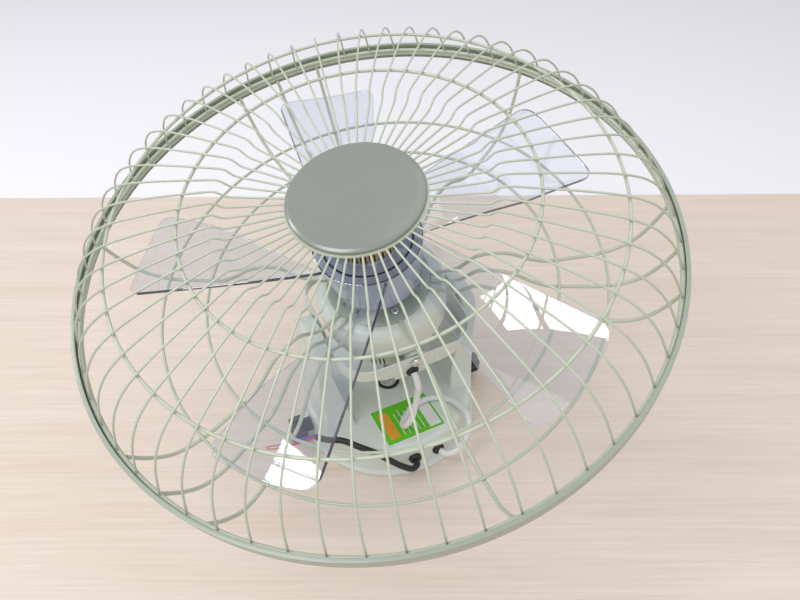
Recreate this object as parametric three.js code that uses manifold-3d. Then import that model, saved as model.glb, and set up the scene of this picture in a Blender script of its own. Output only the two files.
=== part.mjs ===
// Orbital ceiling fan, standing on its canopy. Millimetres and degrees, +Z up.
// Origin: centre of the canopy's ceiling face. +X runs along the axis of the two ears.
// A yoke of two ears carries the orbit ring, the ring carries the motor, and a geared crank
// at the motor's back works in the socket of the canopy, so the caged head rolls round.
import * as THREE from "three";
import { mergeVertices } from "three/addons/utils/BufferGeometryUtils.js";
import Module from "manifold-3d";

// ---------- Driving dimensions ----------
const seatGap = 0.3; // between separate pieces that seat on each other
const pivotHeight = 137.3; // gimbal centre above the ceiling face
const ringTilt = 12.07; // pose of the orbit ring about +X
const headTilt = -13.57; // pose of the head about the ring's Y axis

const canopyRadius = 86, canopyHeight = 38, canopyWall = 2, canopyEdge = 5;
const lipRadius = 90, lipHeight = 3;
const socketRadius = 10, socketBore = 6.5, socketFlange = 1;
const plateWidth = 34, plateThickness = 2.5, plateTab = 25, plateInset = 3;
const knobHeight = 18, knobRadius = 12, knobLength = 14, knobNeck = 5, knobLobes = 6, studRadius = 2.5;
const glandRadius = 6.2, glandAngle = 8.4, glandHeight = 18.7, cordRadius = 3, glandDepth = 3;

const earFoot = 52, earInner = 67, earOuter = 82, earFootHalf = 41, earWaistHalf = 28.5;
const earHeadRadius = 31, earHeadDrop = 19.3, earWall = 2.6, earPocket = 7, earBossRadius = 9;

const strapHalfX = 65.5, strapHalfY = 62.3, strapThickness = 2, strapCorner = 26;
const strapUp = 9, strapDown = 15, strapSideUp = 7, strapSideDown = 8, strapTab = 6;
const boltRadius = 3.7, boltHead = 5.6, boltHeadHeight = 3, ringGlandX = -2.6, ringGlandZ = -13.6;

const coverRadius = 57.5, coverFront = 47, coverBack = 14, coverWall = 2.5;
const backRadius = 52, backEnd = -12, backCone = -34, coneRadius = 34, lugRadius = 8;
const ventWidth = 2.4, ventHeight = 11, ventPitch = 6;
const gearRadius = 26, gearLength = 41;
const crankRadius = 28.5, crankDepth = 87.3, ballRadius = 5.5, crankAngle = 222.4, crankArm = 4;

const shaftRadius = 5, statorInner = 31, statorLength = 24;
const bladeCount = 5, bladeTip = 199, bladeSpread = 27, bladePhase = 221.8, bladeThickness = 2.2;
const bladeTipFront = 101, bladeTipBack = 88, bladeRootFront = 105, bladeRootBack = 67, bladeCamber = 6;
const hubTopRadius = 45, hubFootRadius = 39.5, hubTop = 112, hubFoot = 62, hubWall = 2.3;
const nutRadius = 27, nutHeight = 14, nutKnurls = 24;

const rimRadius = 238.9, rimHeight = 100.2, rimWire = 1.8, bandWall = 2, bandHalf = 7.2, bandFlange = 1.4;
const frontWires = 60, frontWirePhase = 4.87, frontWire = 1, frontStart = 52.4, frontLevel = 158.4;
const kinkRadius = 98.5, kinkRun = 7, kinkRise = 6, frontRingB = 133.5, frontRingC = 193.5, guardRing = 1.3;
const badgeRadius = 52.8, badgeHeight = 3.8, hubRingWidth = 10;
const rearPlateRadius = 46, rearPlate = 2.4, rearWire = 1.75, rearBundle = 10, rearPhase = 147.9;
const rearRingInner = 153.7, rearRingOuter = 193.3, windowWidth = 7;
const plateScrewCircle = 35.7, plateScrewHead = 3.4;

// ---------- Helpers ----------
const wasm = await Module();
wasm.setup();
const rad = THREE.MathUtils.degToRad;

// A closed three.js geometry as a solid that can be joined and cut.
function solid(geometry) {
  const bare = geometry.clone();
  bare.deleteAttribute("normal");
  bare.deleteAttribute("uv");
  const merged = mergeVertices(bare, 1e-3);
  const corners = merged.index.array, kept = [];
  for (let i = 0; i < corners.length; i += 3) {
    const [a, b, c] = [corners[i], corners[i + 1], corners[i + 2]];
    if (a !== b && b !== c && c !== a) kept.push(a, b, c);
  }
  return new wasm.Manifold(new wasm.Mesh({
    numProp: 3,
    vertProperties: new Float32Array(merged.attributes.position.array),
    triVerts: new Uint32Array(kept),
  }));
}

// A solid back as a three.js geometry.
function geometryOf(body) {
  const m = body.getMesh();
  const geometry = new THREE.BufferGeometry();
  const position = new Float32Array(m.numVert * 3);
  for (let i = 0; i < m.numVert; i++) position.set(m.vertProperties.subarray(i * m.numProp, i * m.numProp + 3), 3 * i);
  geometry.setAttribute("position", new THREE.BufferAttribute(position, 3));
  geometry.setIndex(new THREE.BufferAttribute(new Uint32Array(m.triVerts), 1));
  geometry.computeVertexNormals();
  return geometry;
}

const paint = {
  mint: [0xdfe6d8, 0.45, 0], greygreen: [0xb9c5b4, 0.45, 0], steel: [0xb8bcc0, 0.3, 0.9], chrome: [0xe6e8ea, 0.12, 1],
  black: [0x17181a, 0.55, 0], clear: [0xc9d6f2, 0.12, 0], tan: [0xa98f6b, 0.6, 0], bush: [0xe8e2d2, 0.5, 0],
  white: [0xf0eeea, 0.5, 0], blue: [0x1f55c8, 0.5, 0], red: [0xc02a22, 0.5, 0], copper: [0xb8734a, 0.35, 0.9],
  winding: [0x8f5a34, 0.5, 0.6], wire: [0xd6ddc9, 0.4, 0],
};

// One named piece of the fan in its finish.
function piece(name, shape, finish) {
  const [color, roughness, metalness] = paint[finish];
  const geometry = shape.isBufferGeometry ? geometryOf(solid(shape)) : geometryOf(shape);
  const mesh = new THREE.Mesh(geometry, new THREE.MeshStandardMaterial({ color, roughness, metalness }));
  mesh.name = name;
  return mesh;
}

// A closed profile of [radius, height] pairs turned about +Z.
function turned(profile, segments) {
  const points = profile.map(([r, z]) => new THREE.Vector2(r, z));
  if (profile[0][0] > 0 || profile[profile.length - 1][0] > 0) points.push(points[0].clone());
  const g = new THREE.LatheGeometry(points, segments);
  g.rotateX(Math.PI / 2);
  let body = null;
  try {
    body = solid(g);
  } catch (error) {
    throw new Error("profile starting at " + profile[0] + " is not closed: " + error);
  }
  return body.volume() < 0 ? solid(flipped(g)) : body;
}

// The same faces wound the other way round.
function flipped(geometry) {
  const g = geometry.clone();
  const index = g.index.array;
  for (let i = 0; i < index.length; i += 3) [index[i + 1], index[i + 2]] = [index[i + 2], index[i + 1]];
  return g;
}

// A faceted rod stands for a round one: its corners lie outside the round section, its flats inside.
const toCorner = (radius, sides) => radius / Math.sqrt(Math.cos(Math.PI / sides));
const toFlat = (radius, sides) => radius * Math.sqrt(Math.cos(Math.PI / sides));

// A rod of a given radius along a run of points, square at both ends.
function rod(points, radius, sides, steps) {
  const section = new THREE.Shape();
  for (let i = 0; i < sides; i++) {
    const a = (2 * Math.PI * (i + 0.5)) / sides;
    const r = toCorner(radius, sides);
    if (i) section.lineTo(r * Math.cos(a), r * Math.sin(a));
    else section.moveTo(r * Math.cos(a), r * Math.sin(a));
  }
  section.closePath();
  const path = points instanceof THREE.Curve ? points : new THREE.CatmullRomCurve3(points, false, "centripetal");
  return new THREE.ExtrudeGeometry(section, { steps, extrudePath: path, bevelEnabled: false });
}

// A wire bent in one upright plane through the axis: straight links from point to point.
// Its section keeps one side up, so what rests on it meets a flat.
class Chain extends THREE.Curve {
  constructor(points, angle) {
    super();
    this.points = points;
    this.across = new THREE.Vector3(-Math.sin(rad(angle)), Math.cos(rad(angle)), 0);
  }
  computeFrenetFrames(steps) {
    const tangents = [], normals = [], binormals = [];
    for (let i = 0; i <= steps; i++) {
      const t = this.getTangentAt(i / steps);
      tangents.push(t);
      normals.push(t.clone().cross(this.across).normalize());
      binormals.push(this.across.clone().negate());
    }
    return { tangents, normals, binormals };
  }
  getPoint(t, target = new THREE.Vector3()) {
    const n = this.points.length - 1;
    const i = Math.min(n - 1, Math.floor(t * n + 1e-9));
    return target.copy(this.points[i]).lerp(this.points[i + 1], t * n - i);
  }
  getPointAt(t, target) {
    return this.getPoint(t, target);
  }
  getTangent(t, target = new THREE.Vector3()) {
    const n = this.points.length - 1;
    const i = Math.round(t * n);
    const a = this.points[Math.max(0, i - 1)], b = this.points[Math.min(n, i + 1)];
    return target.copy(b).sub(a).normalize();
  }
  getTangentAt(t, target) {
    return this.getTangent(t, target);
  }
}

// A hoop of round wire about +Z.
function hoop(radius, height, wire, segments, sides = 4) {
  const ring = [];
  for (let i = 0; i < sides; i++) {
    const a = (2 * Math.PI * (i + 0.5)) / sides;
    ring.push([radius + toCorner(wire, sides) * Math.cos(a), height + toCorner(wire, sides) * Math.sin(a)]);
  }
  return turned(ring, segments);
}

// A round bar between two levels on +Z.
function bar(radius, low, high, sides = 12) {
  const g = new THREE.CylinderGeometry(radius, radius, high - low, sides);
  g.rotateX(Math.PI / 2);
  g.translate(0, 0, (low + high) / 2);
  return solid(g);
}

// A block between two corners.
function block(x0, y0, z0, x1, y1, z1) {
  const g = new THREE.BoxGeometry(x1 - x0, y1 - y0, z1 - z0);
  g.translate((x0 + x1) / 2, (y0 + y1) / 2, (z0 + z1) / 2);
  return solid(g);
}

// An outline drawn in two axes and carried along the third ("x", "y" or "z") from low to high.
function slab(outline, axis, low, high) {
  const shape = outline instanceof THREE.Shape ? outline
    : new THREE.Shape(outline.map(([u, v]) => new THREE.Vector2(u, v)));
  const g = new THREE.ExtrudeGeometry(shape, { depth: high - low, bevelEnabled: false, curveSegments: 4 });
  g.translate(0, 0, low);
  if (axis === "x") g.applyMatrix4(new THREE.Matrix4().set(0, 0, 1, 0, 1, 0, 0, 0, 0, 1, 0, 0, 0, 0, 0, 1));
  if (axis === "y") g.applyMatrix4(new THREE.Matrix4().set(1, 0, 0, 0, 0, 0, -1, 0, 0, 1, 0, 0, 0, 0, 0, 1));
  return solid(g);
}

// A body turned about +Z by an angle in degrees.
const turnZ = (body, angle) => body.rotate([0, 0, angle]);
const alongX = (body, side = 1) => body.rotate([0, 90 * side, 0]); // +Z to +X or −X
const alongY = (body, side = 1) => body.rotate([-90 * side, 0, 0]); // +Z to +Y or −Y
const polar = (r, angle, z) => new THREE.Vector3(r * Math.cos(rad(angle)), r * Math.sin(rad(angle)), z);

const fan = new THREE.Group();
const ring = new THREE.Group(); // turns about X in the ears
ring.position.set(0, 0, pivotHeight);
ring.rotation.x = rad(ringTilt);
const head = new THREE.Group(); // turns about Y in the ring
head.rotation.y = rad(headTilt);
fan.add(ring);
ring.add(head);

// ---------- Canopy housing with its two ears, one moulding ----------
const innerRadius = canopyRadius - canopyWall;
const floorUnder = canopyHeight - canopyWall;
const edgeArc = [];
for (let i = 0; i <= 2; i++) {
  const a = (Math.PI / 4) * i;
  edgeArc.push([canopyRadius - canopyEdge + canopyEdge * Math.cos(a), canopyHeight - canopyEdge + canopyEdge * Math.sin(a)]);
}
const drum = turned([
  [lipRadius, 0], [lipRadius, lipHeight - 1], [lipRadius - 1, lipHeight], [canopyRadius, lipHeight + 1],
  ...edgeArc, [socketRadius, canopyHeight], [socketRadius, floorUnder], [innerRadius - canopyEdge, floorUnder],
  [innerRadius, floorUnder - canopyEdge], [innerRadius, 0],
], 40);

// One ear: its front outline flares into the drum, its side outline leans outward from the foot.
function ear() {
  const top = pivotHeight - earHeadDrop; // centre of the round head
  const front = [];
  const half = [
    [earFootHalf, canopyHeight - 15], [earFootHalf - 2, canopyHeight], [earFootHalf - 6.5, canopyHeight + 10],
    [earFootHalf - 9.5, canopyHeight + 22], [earWaistHalf, canopyHeight + 44], [earWaistHalf + 0.5, top - 12],
  ];
  for (const [y, z] of half) front.push([y, z]);
  for (let i = 0; i <= 9; i++) {
    const a = (Math.PI * i) / 9;
    front.push([earHeadRadius * Math.cos(a), top + earHeadRadius * Math.sin(a)]);
  }
  for (const [y, z] of [...half].reverse()) front.push([-y, z]);
  const crown = top + earHeadRadius + 1;
  const side = [
    [earFoot, canopyHeight - 15], [earFoot, canopyHeight], [earFoot + 10, canopyHeight + 44], [earInner, top - 14],
    [earInner, crown], [earOuter - 3, crown], [earOuter, crown - 8], [earOuter, canopyHeight - 15],
  ];
  let body = slab(front, "x", earFoot - 1, earOuter + 1).intersect(slab(side, "y", -earFootHalf - 1, earFootHalf + 1));
  body = body.intersect(bar(canopyRadius, 0, crown + 1, 40));
  // open hollow from below, and the shallow pan of the inner face with its pivot boss
  const hollow = slab([
    [earFoot + earWall + 2, canopyHeight - 16], [earFoot + earWall + 12, canopyHeight + 44], [earInner + earWall, top - 18],
    [earOuter - earWall, top - 18], [earOuter - earWall, canopyHeight - 16],
  ], "y", -earWaistHalf + earWall, earWaistHalf - earWall);
  const pan = [];
  for (let i = 0; i <= 7; i++) {
    const a = (Math.PI * i) / 7;
    pan.push([(earHeadRadius - 3.2) * Math.cos(a), top + (earHeadRadius - 3.2) * Math.sin(a)]);
  }
  pan.push([-earWaistHalf + 4, top - 14], [earWaistHalf - 4, top - 14]);
  const boss = alongX(bar(earBossRadius, earInner, earInner + earPocket + 0.5)).translate([0, 0, pivotHeight]);
  body = body.subtract(slab(pan, "x", earInner - 4, earInner + earPocket)).add(boss);
  body = body.subtract(alongX(bar(boltRadius + seatGap, earInner - 1, earOuter - earWall)).translate([0, 0, pivotHeight]));
  // upright window beside the pivot, right through the ear
  body = body.subtract(block(earInner - 1, 10.5, pivotHeight - 16, earOuter + 1, 15.5, pivotHeight - 1));
  return [body, hollow];
}
const glands = [-glandAngle, glandAngle].map((a) => -90 + a);
const [earBody, earHollow] = ear();
let housing = drum.add(earBody).add(turnZ(earBody, 180)).subtract(earHollow).subtract(turnZ(earHollow, 180));
housing = housing.subtract(bar(socketRadius, canopyHeight - 20, canopyHeight + 5, 20));
housing = housing.subtract(bar(innerRadius, -1, floorUnder - canopyEdge, 40));
for (const a of glands) {
  const bore = alongX(bar(glandRadius - 1.5, innerRadius - 4, canopyRadius + 4)).translate([0, 0, glandHeight]);
  housing = housing.subtract(turnZ(bore, a));
}
for (const side of [0, 180]) {
  const bore = alongX(bar(studRadius + seatGap, earFoot - 4, canopyRadius + 4)).translate([0, 0, knobHeight]);
  housing = housing.subtract(turnZ(bore, side));
}
fan.add(piece("canopy_housing", housing, "mint"));

// Bush of the socket that the crank works in.
fan.add(piece("socket_bush", turned([
  [socketBore, canopyHeight + seatGap + socketFlange], [socketBore, floorUnder - 4],
  [socketRadius - seatGap, floorUnder - 4], [socketRadius - seatGap, canopyHeight + seatGap],
  [socketRadius + 2, canopyHeight + seatGap], [socketRadius + 1.5, canopyHeight + seatGap + socketFlange],
], 20), "bush"));

// Ceiling plate: a folded strip with a screw slot each side and an upturned tab at each knob.
const tabInner = innerRadius - plateInset - plateThickness;
let plate = slab([
  [-tabInner - plateThickness, 0], [tabInner + plateThickness, 0], [tabInner + plateThickness, plateTab], [tabInner, plateTab],
  [tabInner, plateThickness], [-tabInner, plateThickness], [-tabInner, plateTab], [-tabInner - plateThickness, plateTab],
], "y", -plateWidth / 2, plateWidth / 2);
for (const x of [-1, 1]) {
  plate = plate.subtract(block(x * 40 - 9, -2.6, -1, x * 40 + 9, 2.6, plateThickness + 1));
  plate = plate.subtract(alongX(bar(studRadius + seatGap, tabInner - 2, tabInner + 5), x).translate([0, 0, knobHeight]));
}
fan.add(piece("ceiling_plate", plate, "steel"));

// Knobs that clamp the canopy to the ceiling plate.
function knob() {
  const grip = new THREE.Shape();
  const steps = knobLobes * 4;
  for (let i = 0; i < steps; i++) {
    const a = (2 * Math.PI * i) / steps;
    const r = knobRadius - 0.9 + 0.9 * Math.cos(knobLobes * a);
    if (i) grip.lineTo(r * Math.cos(a), r * Math.sin(a));
    else grip.moveTo(r * Math.cos(a), r * Math.sin(a));
  }
  grip.closePath();
  const start = canopyRadius + seatGap + 1.7;
  const bevel = 1.2;
  const cap = new THREE.ExtrudeGeometry(grip, {
    depth: knobLength - 2 * bevel, bevelEnabled: true, bevelSize: bevel, bevelThickness: bevel, bevelOffset: -bevel, bevelSegments: 1,
  });
  cap.translate(0, 0, start + knobNeck + bevel);
  return solid(cap).add(bar(knobRadius * 0.6, start - 1.7, start + knobNeck + 1, 12))
    .add(bar(studRadius, tabInner - 3, start, 8));
}
fan.add(piece("knob_right", alongX(knob()).translate([0, 0, knobHeight]), "black"));
fan.add(piece("knob_left", turnZ(alongX(knob()).translate([0, 0, knobHeight]), 180), "black"));

// Rubber glands of the two cords in the canopy's wall: a groove that grips the wall, and a bore for the cord.
function gland(wallInner, wallOuter, hole) {
  return turned([
    [cordRadius - 0.6, wallOuter + glandDepth], [cordRadius - 0.6, wallInner - 1.6], [glandRadius - 0.8, wallInner - 1.6],
    [glandRadius, wallInner - seatGap], [hole - seatGap, wallInner - seatGap], [hole - seatGap, wallOuter + seatGap],
    [glandRadius, wallOuter + seatGap], [glandRadius - 1.2, wallOuter + glandDepth],
  ], 12);
}
glands.forEach((a, i) => {
  const body = alongX(gland(innerRadius - 0.5, canopyRadius + 0.2, glandRadius - 1.5)).translate([0, 0, glandHeight]);
  fan.add(piece(i ? "gland_jumper" : "gland_supply", turnZ(body, a), "black"));
});

// ---------- Cords ----------
const glandEnd = canopyRadius + 0.2 + glandDepth + seatGap;
const exitOf = (a, extra = 0) => polar(glandEnd + extra, a, glandHeight);
const v = (x, y, z) => new THREE.Vector3(x, y, z);
const supplyRoute = [
  exitOf(glands[0]), exitOf(glands[0], 3), v(-21, -96.5, 21.5), v(-31.5, -92, 27.5), v(-41, -84.5, 34), v(-50, -77, 40),
  v(-61, -67.5, 44), v(-73, -53, 44), v(-84, -44, 41), v(-91.3, -34, 37.5),
];
fan.add(piece("supply_cord", rod(supplyRoute, cordRadius, 8, 22), "black"));
const sheathEnd = supplyRoute[supplyRoute.length - 1];
const endWay = sheathEnd.clone().sub(supplyRoute[supplyRoute.length - 2]).normalize();
const across = v(endWay.y, -endWay.x, 0).normalize();
const coreRadius = 1.2, strandRadius = 0.7;
[["blue", 1], ["red", -1]].forEach(([name, side]) => {
  const start = sheathEnd.clone().addScaledVector(endWay, seatGap).addScaledVector(across, side * (coreRadius + 0.25));
  const bare = v(-124.5, -22.8 + side * 1.6, 30 + side * 0.6);
  const route = [start, start.clone().addScaledVector(endWay, 3), v(-106.8, -28 + side * 1.7, 34), bare];
  fan.add(piece("core_" + name, rod(route, coreRadius, 6, 9), name));
  const way = bare.clone().sub(route[2]).normalize();
  const from = bare.clone().addScaledVector(way, seatGap);
  fan.add(piece("strands_" + name, rod([from, v(-131, -20.6 + side * 1.5, 29.7 + side * 0.5), v(-137.8, -18 + side * 1.1, 29.6)],
    strandRadius, 4, 4), "copper"));
});
const floorLevel = canopyHeight + cordRadius + 0.5;
const ringGlandOut = v(ringGlandX, -strapHalfY - glandDepth - seatGap, ringGlandZ)
  .applyAxisAngle(v(1, 0, 0), rad(ringTilt)).add(v(0, 0, pivotHeight));
const ringOut = v(0, -1, 0).applyAxisAngle(v(1, 0, 0), rad(ringTilt));
const jumperRoute = [
  exitOf(glands[1]), exitOf(glands[1], 3), v(22, -97, 20.5), v(34, -95, 27), v(44, -88.5, 37), v(47.5, -78.5, 42.6),
  v(47, -66, floorLevel), v(42.5, -54, floorLevel), v(33, -45.5, floorLevel), v(20, -42.5, floorLevel),
  v(6, -45, floorLevel), v(-6, -52, floorLevel), v(-13.5, -60, floorLevel + 1), v(-13.5, -66.5, floorLevel + 6),
  v(-8, -68.5, floorLevel + 17), v(-3.6, -67, floorLevel + 30), v(-2, -67.5, floorLevel + 46), v(-2.2, -69.5, floorLevel + 58),
  ringGlandOut.clone().addScaledVector(ringOut, 3), ringGlandOut,
];
fan.add(piece("jumper_cord", rod(jumperRoute, cordRadius, 8, 38), "white"));

// ---------- Orbit ring ----------
function roundedFrame(halfX, halfY, corner) {
  const s = new THREE.Shape();
  s.moveTo(halfX - corner, -halfY);
  s.absarc(halfX - corner, -halfY + corner, corner, -Math.PI / 2, 0, false);
  s.absarc(halfX - corner, halfY - corner, corner, 0, Math.PI / 2, false);
  s.absarc(-halfX + corner, halfY - corner, corner, Math.PI / 2, Math.PI, false);
  s.absarc(-halfX + corner, -halfY + corner, corner, Math.PI, 1.5 * Math.PI, false);
  s.closePath();
  return s;
}
const strapInX = strapHalfX - strapThickness, strapInY = strapHalfY - strapThickness;
let strap = slab(roundedFrame(strapHalfX, strapHalfY, strapCorner + strapThickness), "z", -40, 40)
  .subtract(slab(roundedFrame(strapInX, strapInY, strapCorner), "z", -41, 41));
strap = strap.intersect(slab([
  [strapHalfX + 1, -strapSideDown], [strapHalfX + 1, strapSideUp], [strapHalfX - 24, strapUp], [-strapHalfX + 24, strapUp],
  [-strapHalfX - 1, strapSideUp], [-strapHalfX - 1, -strapSideDown], [-strapHalfX + 26, -strapSideDown],
  [-strapHalfX + 38, -strapDown], [strapHalfX - 38, -strapDown], [strapHalfX - 24, -strapSideDown - 2],
], "y", -strapHalfY - 1, strapHalfY + 1));
strap = strap.add(slab([[-21, -strapDown + 2], [-19, -strapDown - strapTab], [11, -strapDown - strapTab], [15, -strapDown + 2]],
  "y", -strapHalfY, -strapInY));
for (const s of [1, -1]) {
  strap = strap.subtract(alongX(bar(boltRadius + seatGap, strapInX - 3, strapHalfX + 3), s));
  strap = strap.subtract(alongY(bar(boltRadius + seatGap, strapInY - 3, strapHalfY + 3), s));
}
strap = strap.subtract(alongY(bar(glandRadius - 1.5, strapInY - 3, strapHalfY + 3), -1).translate([ringGlandX, 0, ringGlandZ]));
strap = strap.add(alongY(turned([[0, strapHalfY - 0.5], [2.8, strapHalfY - 0.5], [2.8, strapHalfY + 0.6], [1.4, strapHalfY + 1.5],
  [0, strapHalfY + 1.7]], 10), -1).translate([21.5, 0, -4.8]));
ring.add(piece("orbit_ring", strap, "mint"));
ring.add(piece("gland_ring", alongY(gland(strapInY, strapHalfY, glandRadius - 1.5), -1).translate([ringGlandX, 0, ringGlandZ]), "black"));

// Pivot bolts. Those on X stand in the ears and end flush in the ring, those on Y stand in the ring and end in the motor's lugs.
const lugEnd = strapInY - 1;
const earBolt = turned([
  [0, strapInX + 0.1], [boltRadius, strapInX + 0.1], [boltRadius, strapHalfX + seatGap], [boltHead + 1, strapHalfX + seatGap],
  [boltHead + 1, earInner - seatGap], [boltRadius, earInner - seatGap], [boltRadius, earOuter - earWall - seatGap],
  [0, earOuter - earWall - seatGap],
], 12);
ring.add(piece("ear_bolt_right", alongX(earBolt).rotate([-ringTilt, 0, 0]), "steel"));
ring.add(piece("ear_bolt_left", alongX(earBolt, -1).rotate([-ringTilt, 0, 0]), "steel"));
const headBolt = turned([
  [0, lugEnd - 7], [boltRadius, lugEnd - 7], [boltRadius, strapHalfY + seatGap], [boltHead, strapHalfY + seatGap],
  [boltHead, strapHalfY + seatGap + boltHeadHeight - 1], [boltHead - 1.4, strapHalfY + seatGap + boltHeadHeight],
  [0, strapHalfY + seatGap + boltHeadHeight + 0.4],
], 12);
ring.add(piece("pivot_bolt_front", alongY(headBolt, -1), "chrome"));
ring.add(piece("pivot_bolt_rear", alongY(headBolt), "chrome"));

// ---------- Motor ----------
const coverInner = coverRadius - coverWall;
const shaftBore = shaftRadius + seatGap;
let frontCover = turned([
  [shaftBore, coverFront - 4], [shaftBore, coverFront], [rearPlateRadius + 4, coverFront], [coverRadius - 2.5, coverFront - 2],
  [coverRadius, coverFront - 6.5], [coverRadius, coverBack], [coverInner, coverBack], [coverInner, coverFront - 7.5],
  [rearPlateRadius + 2, coverFront - coverWall - 0.8], [shaftBore + 8, coverFront - coverWall],
  [shaftBore + 8, coverFront - 4],
], 30);
const screwAngles = [268, 28, 148];
const onCircle = (body, r, angle) => turnZ(body.translate([r, 0, 0]), angle);
for (const a of screwAngles) {
  frontCover = frontCover.subtract(onCircle(bar(1.9, coverFront - 8, coverFront + 1, 8), plateScrewCircle, a));
}
head.add(piece("motor_front", frontCover, "mint"));

const flangeTop = coverBack - seatGap;
let backCover = turned([
  [coverRadius - 0.3, flangeTop], [coverRadius - 0.3, flangeTop - 2], [backRadius, flangeTop - 2.6], [backRadius, backEnd],
  [coneRadius, backCone], [shaftBore, backCone], [shaftBore, backCone + coverWall], [coneRadius - 1.2, backCone + coverWall],
  [backRadius - coverWall, backEnd + 1], [backRadius - coverWall, flangeTop],
], 30);
for (const s of [1, -1]) {
  backCover = backCover.add(alongY(bar(lugRadius, backRadius - 1.5, lugEnd), s))
    .subtract(alongY(bar(boltRadius + seatGap, lugEnd - 7 - seatGap, lugEnd + 1), s));
}
const ventTop = flangeTop - 3.2;
for (const a of [227, 233, 239, 245, 284, 290, 296]) {
  for (const turn of [0, 180]) {
    const slot = block(backRadius - 6, -ventWidth / 2, ventTop - ventHeight, backRadius + 3, ventWidth / 2, ventTop);
    backCover = backCover.subtract(turnZ(slot, a + turn));
  }
}
head.add(piece("motor_back", backCover, "mint"));

const statorTop = coverFront - 8.5;
head.add(piece("stator", turned([
  [coverInner - seatGap, statorTop - statorLength], [coverInner - seatGap, statorTop], [statorInner, statorTop],
  [statorInner, statorTop - statorLength],
], 20), "winding"));
const gearTop = backCone - seatGap, gearEnd = gearTop - gearLength;
head.add(piece("gearbox", turned([
  [0, gearTop - 10], [shaftBore, gearTop - 10], [shaftBore, gearTop], [gearRadius, gearTop], [gearRadius, gearEnd + 5],
  [gearRadius - 4, gearEnd], [shaftBore, gearEnd], [shaftBore, gearEnd + 12], [0, gearEnd + 12],
], 20), "greygreen"));

// Crank of the orbit drive: a stub in the gearbox, an arm and a ball-ended pin.
const armTop = gearEnd - seatGap;
let crank = bar(shaftRadius, armTop - 1, gearEnd + 12 - seatGap, 12).add(bar(shaftRadius + 3.5, armTop - crankArm - 2, armTop, 16));
crank = crank.add(slab([[0, -5.5], [crankRadius, -4.5], [crankRadius + 4.5, 0], [crankRadius, 4.5], [0, 5.5]],
  "z", armTop - crankArm, armTop));
const ball = new THREE.SphereGeometry(ballRadius, 10, 6);
ball.rotateX(Math.PI / 2);
ball.translate(crankRadius, 0, -crankDepth);
crank = crank.add(bar(3, -crankDepth, armTop - 1, 10).translate([crankRadius, 0, 0])).add(solid(ball));
head.add(piece("crank", turnZ(crank, crankAngle), "steel"));

// ---------- Rotor: shaft, rotor core, blade set and lock nut ----------
const nutFoot = hubTop + 1.5 + seatGap;
head.add(piece("shaft", bar(shaftRadius, gearTop - 10 + seatGap, nutFoot + nutHeight - 4, 12), "steel"));
head.add(piece("rotor_core", turned([
  [statorInner - 0.6, statorTop - statorLength], [statorInner - 0.6, statorTop], [shaftBore, statorTop],
  [shaftBore, statorTop - statorLength],
], 20), "steel"));

// A blade is a curved sheet from its steep root on the hub to its flat, wide tip with rounded corners.
function blade() {
  const across = [0, 0.08, 0.27, 0.5, 0.73, 0.92, 1], rows = 5;
  const root = hubFootRadius + 0.6;
  const half = bladeThickness / 2;
  const corner = (u) => {
    const t = Math.max(0, (Math.abs(2 * u - 1) - 0.52) / 0.48);
    return 22 * (1 - Math.sqrt(1 - t * t));
  };
  const mid = (u, w) => {
    const tip = bladeTip - corner(u);
    const r = root + (tip - root) * w;
    const far = bladeTip / r;
    const lead = 8.2 * (far - 1), trail = 7.4 * Math.max(0, far - 1.45);
    const front = THREE.MathUtils.lerp(bladeTipFront, bladeRootFront, (1 - w) ** 2);
    const back = THREE.MathUtils.lerp(bladeTipBack, bladeRootBack, (1 - w) ** 2);
    const angle = -bladeSpread / 2 + trail + (bladeSpread + lead - trail) * u;
    return polar(r, angle, back + (front - back) * u - bladeCamber * 4 * u * (1 - u) * (0.4 + 0.6 * w));
  };
  const grid = across.map((u) => {
    const line = [];
    for (let j = 0; j <= rows; j++) line.push(mid(u, j / rows));
    return line;
  });
  const n = across.length, m = rows + 1;
  const position = [];
  for (const side of [half, -half]) {
    for (let i = 0; i < n; i++) {
      for (let j = 0; j < m; j++) {
        const du = grid[Math.min(n - 1, i + 1)][j].clone().sub(grid[Math.max(0, i - 1)][j]);
        const dw = grid[i][Math.min(m - 1, j + 1)].clone().sub(grid[i][Math.max(0, j - 1)]);
        const normal = dw.cross(du).normalize();
        position.push(...grid[i][j].clone().addScaledVector(normal, side).toArray());
      }
    }
  }
  const at = (s, i, j) => s * n * m + i * m + j;
  const index = [];
  const quad = (a, b, c, d) => index.push(a, b, c, a, c, d);
  for (let i = 0; i + 1 < n; i++) {
    for (let j = 0; j + 1 < m; j++) {
      quad(at(0, i, j), at(0, i, j + 1), at(0, i + 1, j + 1), at(0, i + 1, j));
      quad(at(1, i, j), at(1, i + 1, j), at(1, i + 1, j + 1), at(1, i, j + 1));
    }
    quad(at(0, i, 0), at(0, i + 1, 0), at(1, i + 1, 0), at(1, i, 0));
    quad(at(0, i, m - 1), at(1, i, m - 1), at(1, i + 1, m - 1), at(0, i + 1, m - 1));
  }
  for (let j = 0; j + 1 < m; j++) {
    quad(at(0, 0, j), at(1, 0, j), at(1, 0, j + 1), at(0, 0, j + 1));
    quad(at(0, n - 1, j), at(0, n - 1, j + 1), at(1, n - 1, j + 1), at(1, n - 1, j));
  }
  const g = new THREE.BufferGeometry();
  g.setAttribute("position", new THREE.Float32BufferAttribute(position, 3));
  g.setIndex(index);
  const body = solid(g);
  return body.volume() < 0 ? solid(flipped(g)) : body;
}
const collarHeight = 12;
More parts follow.
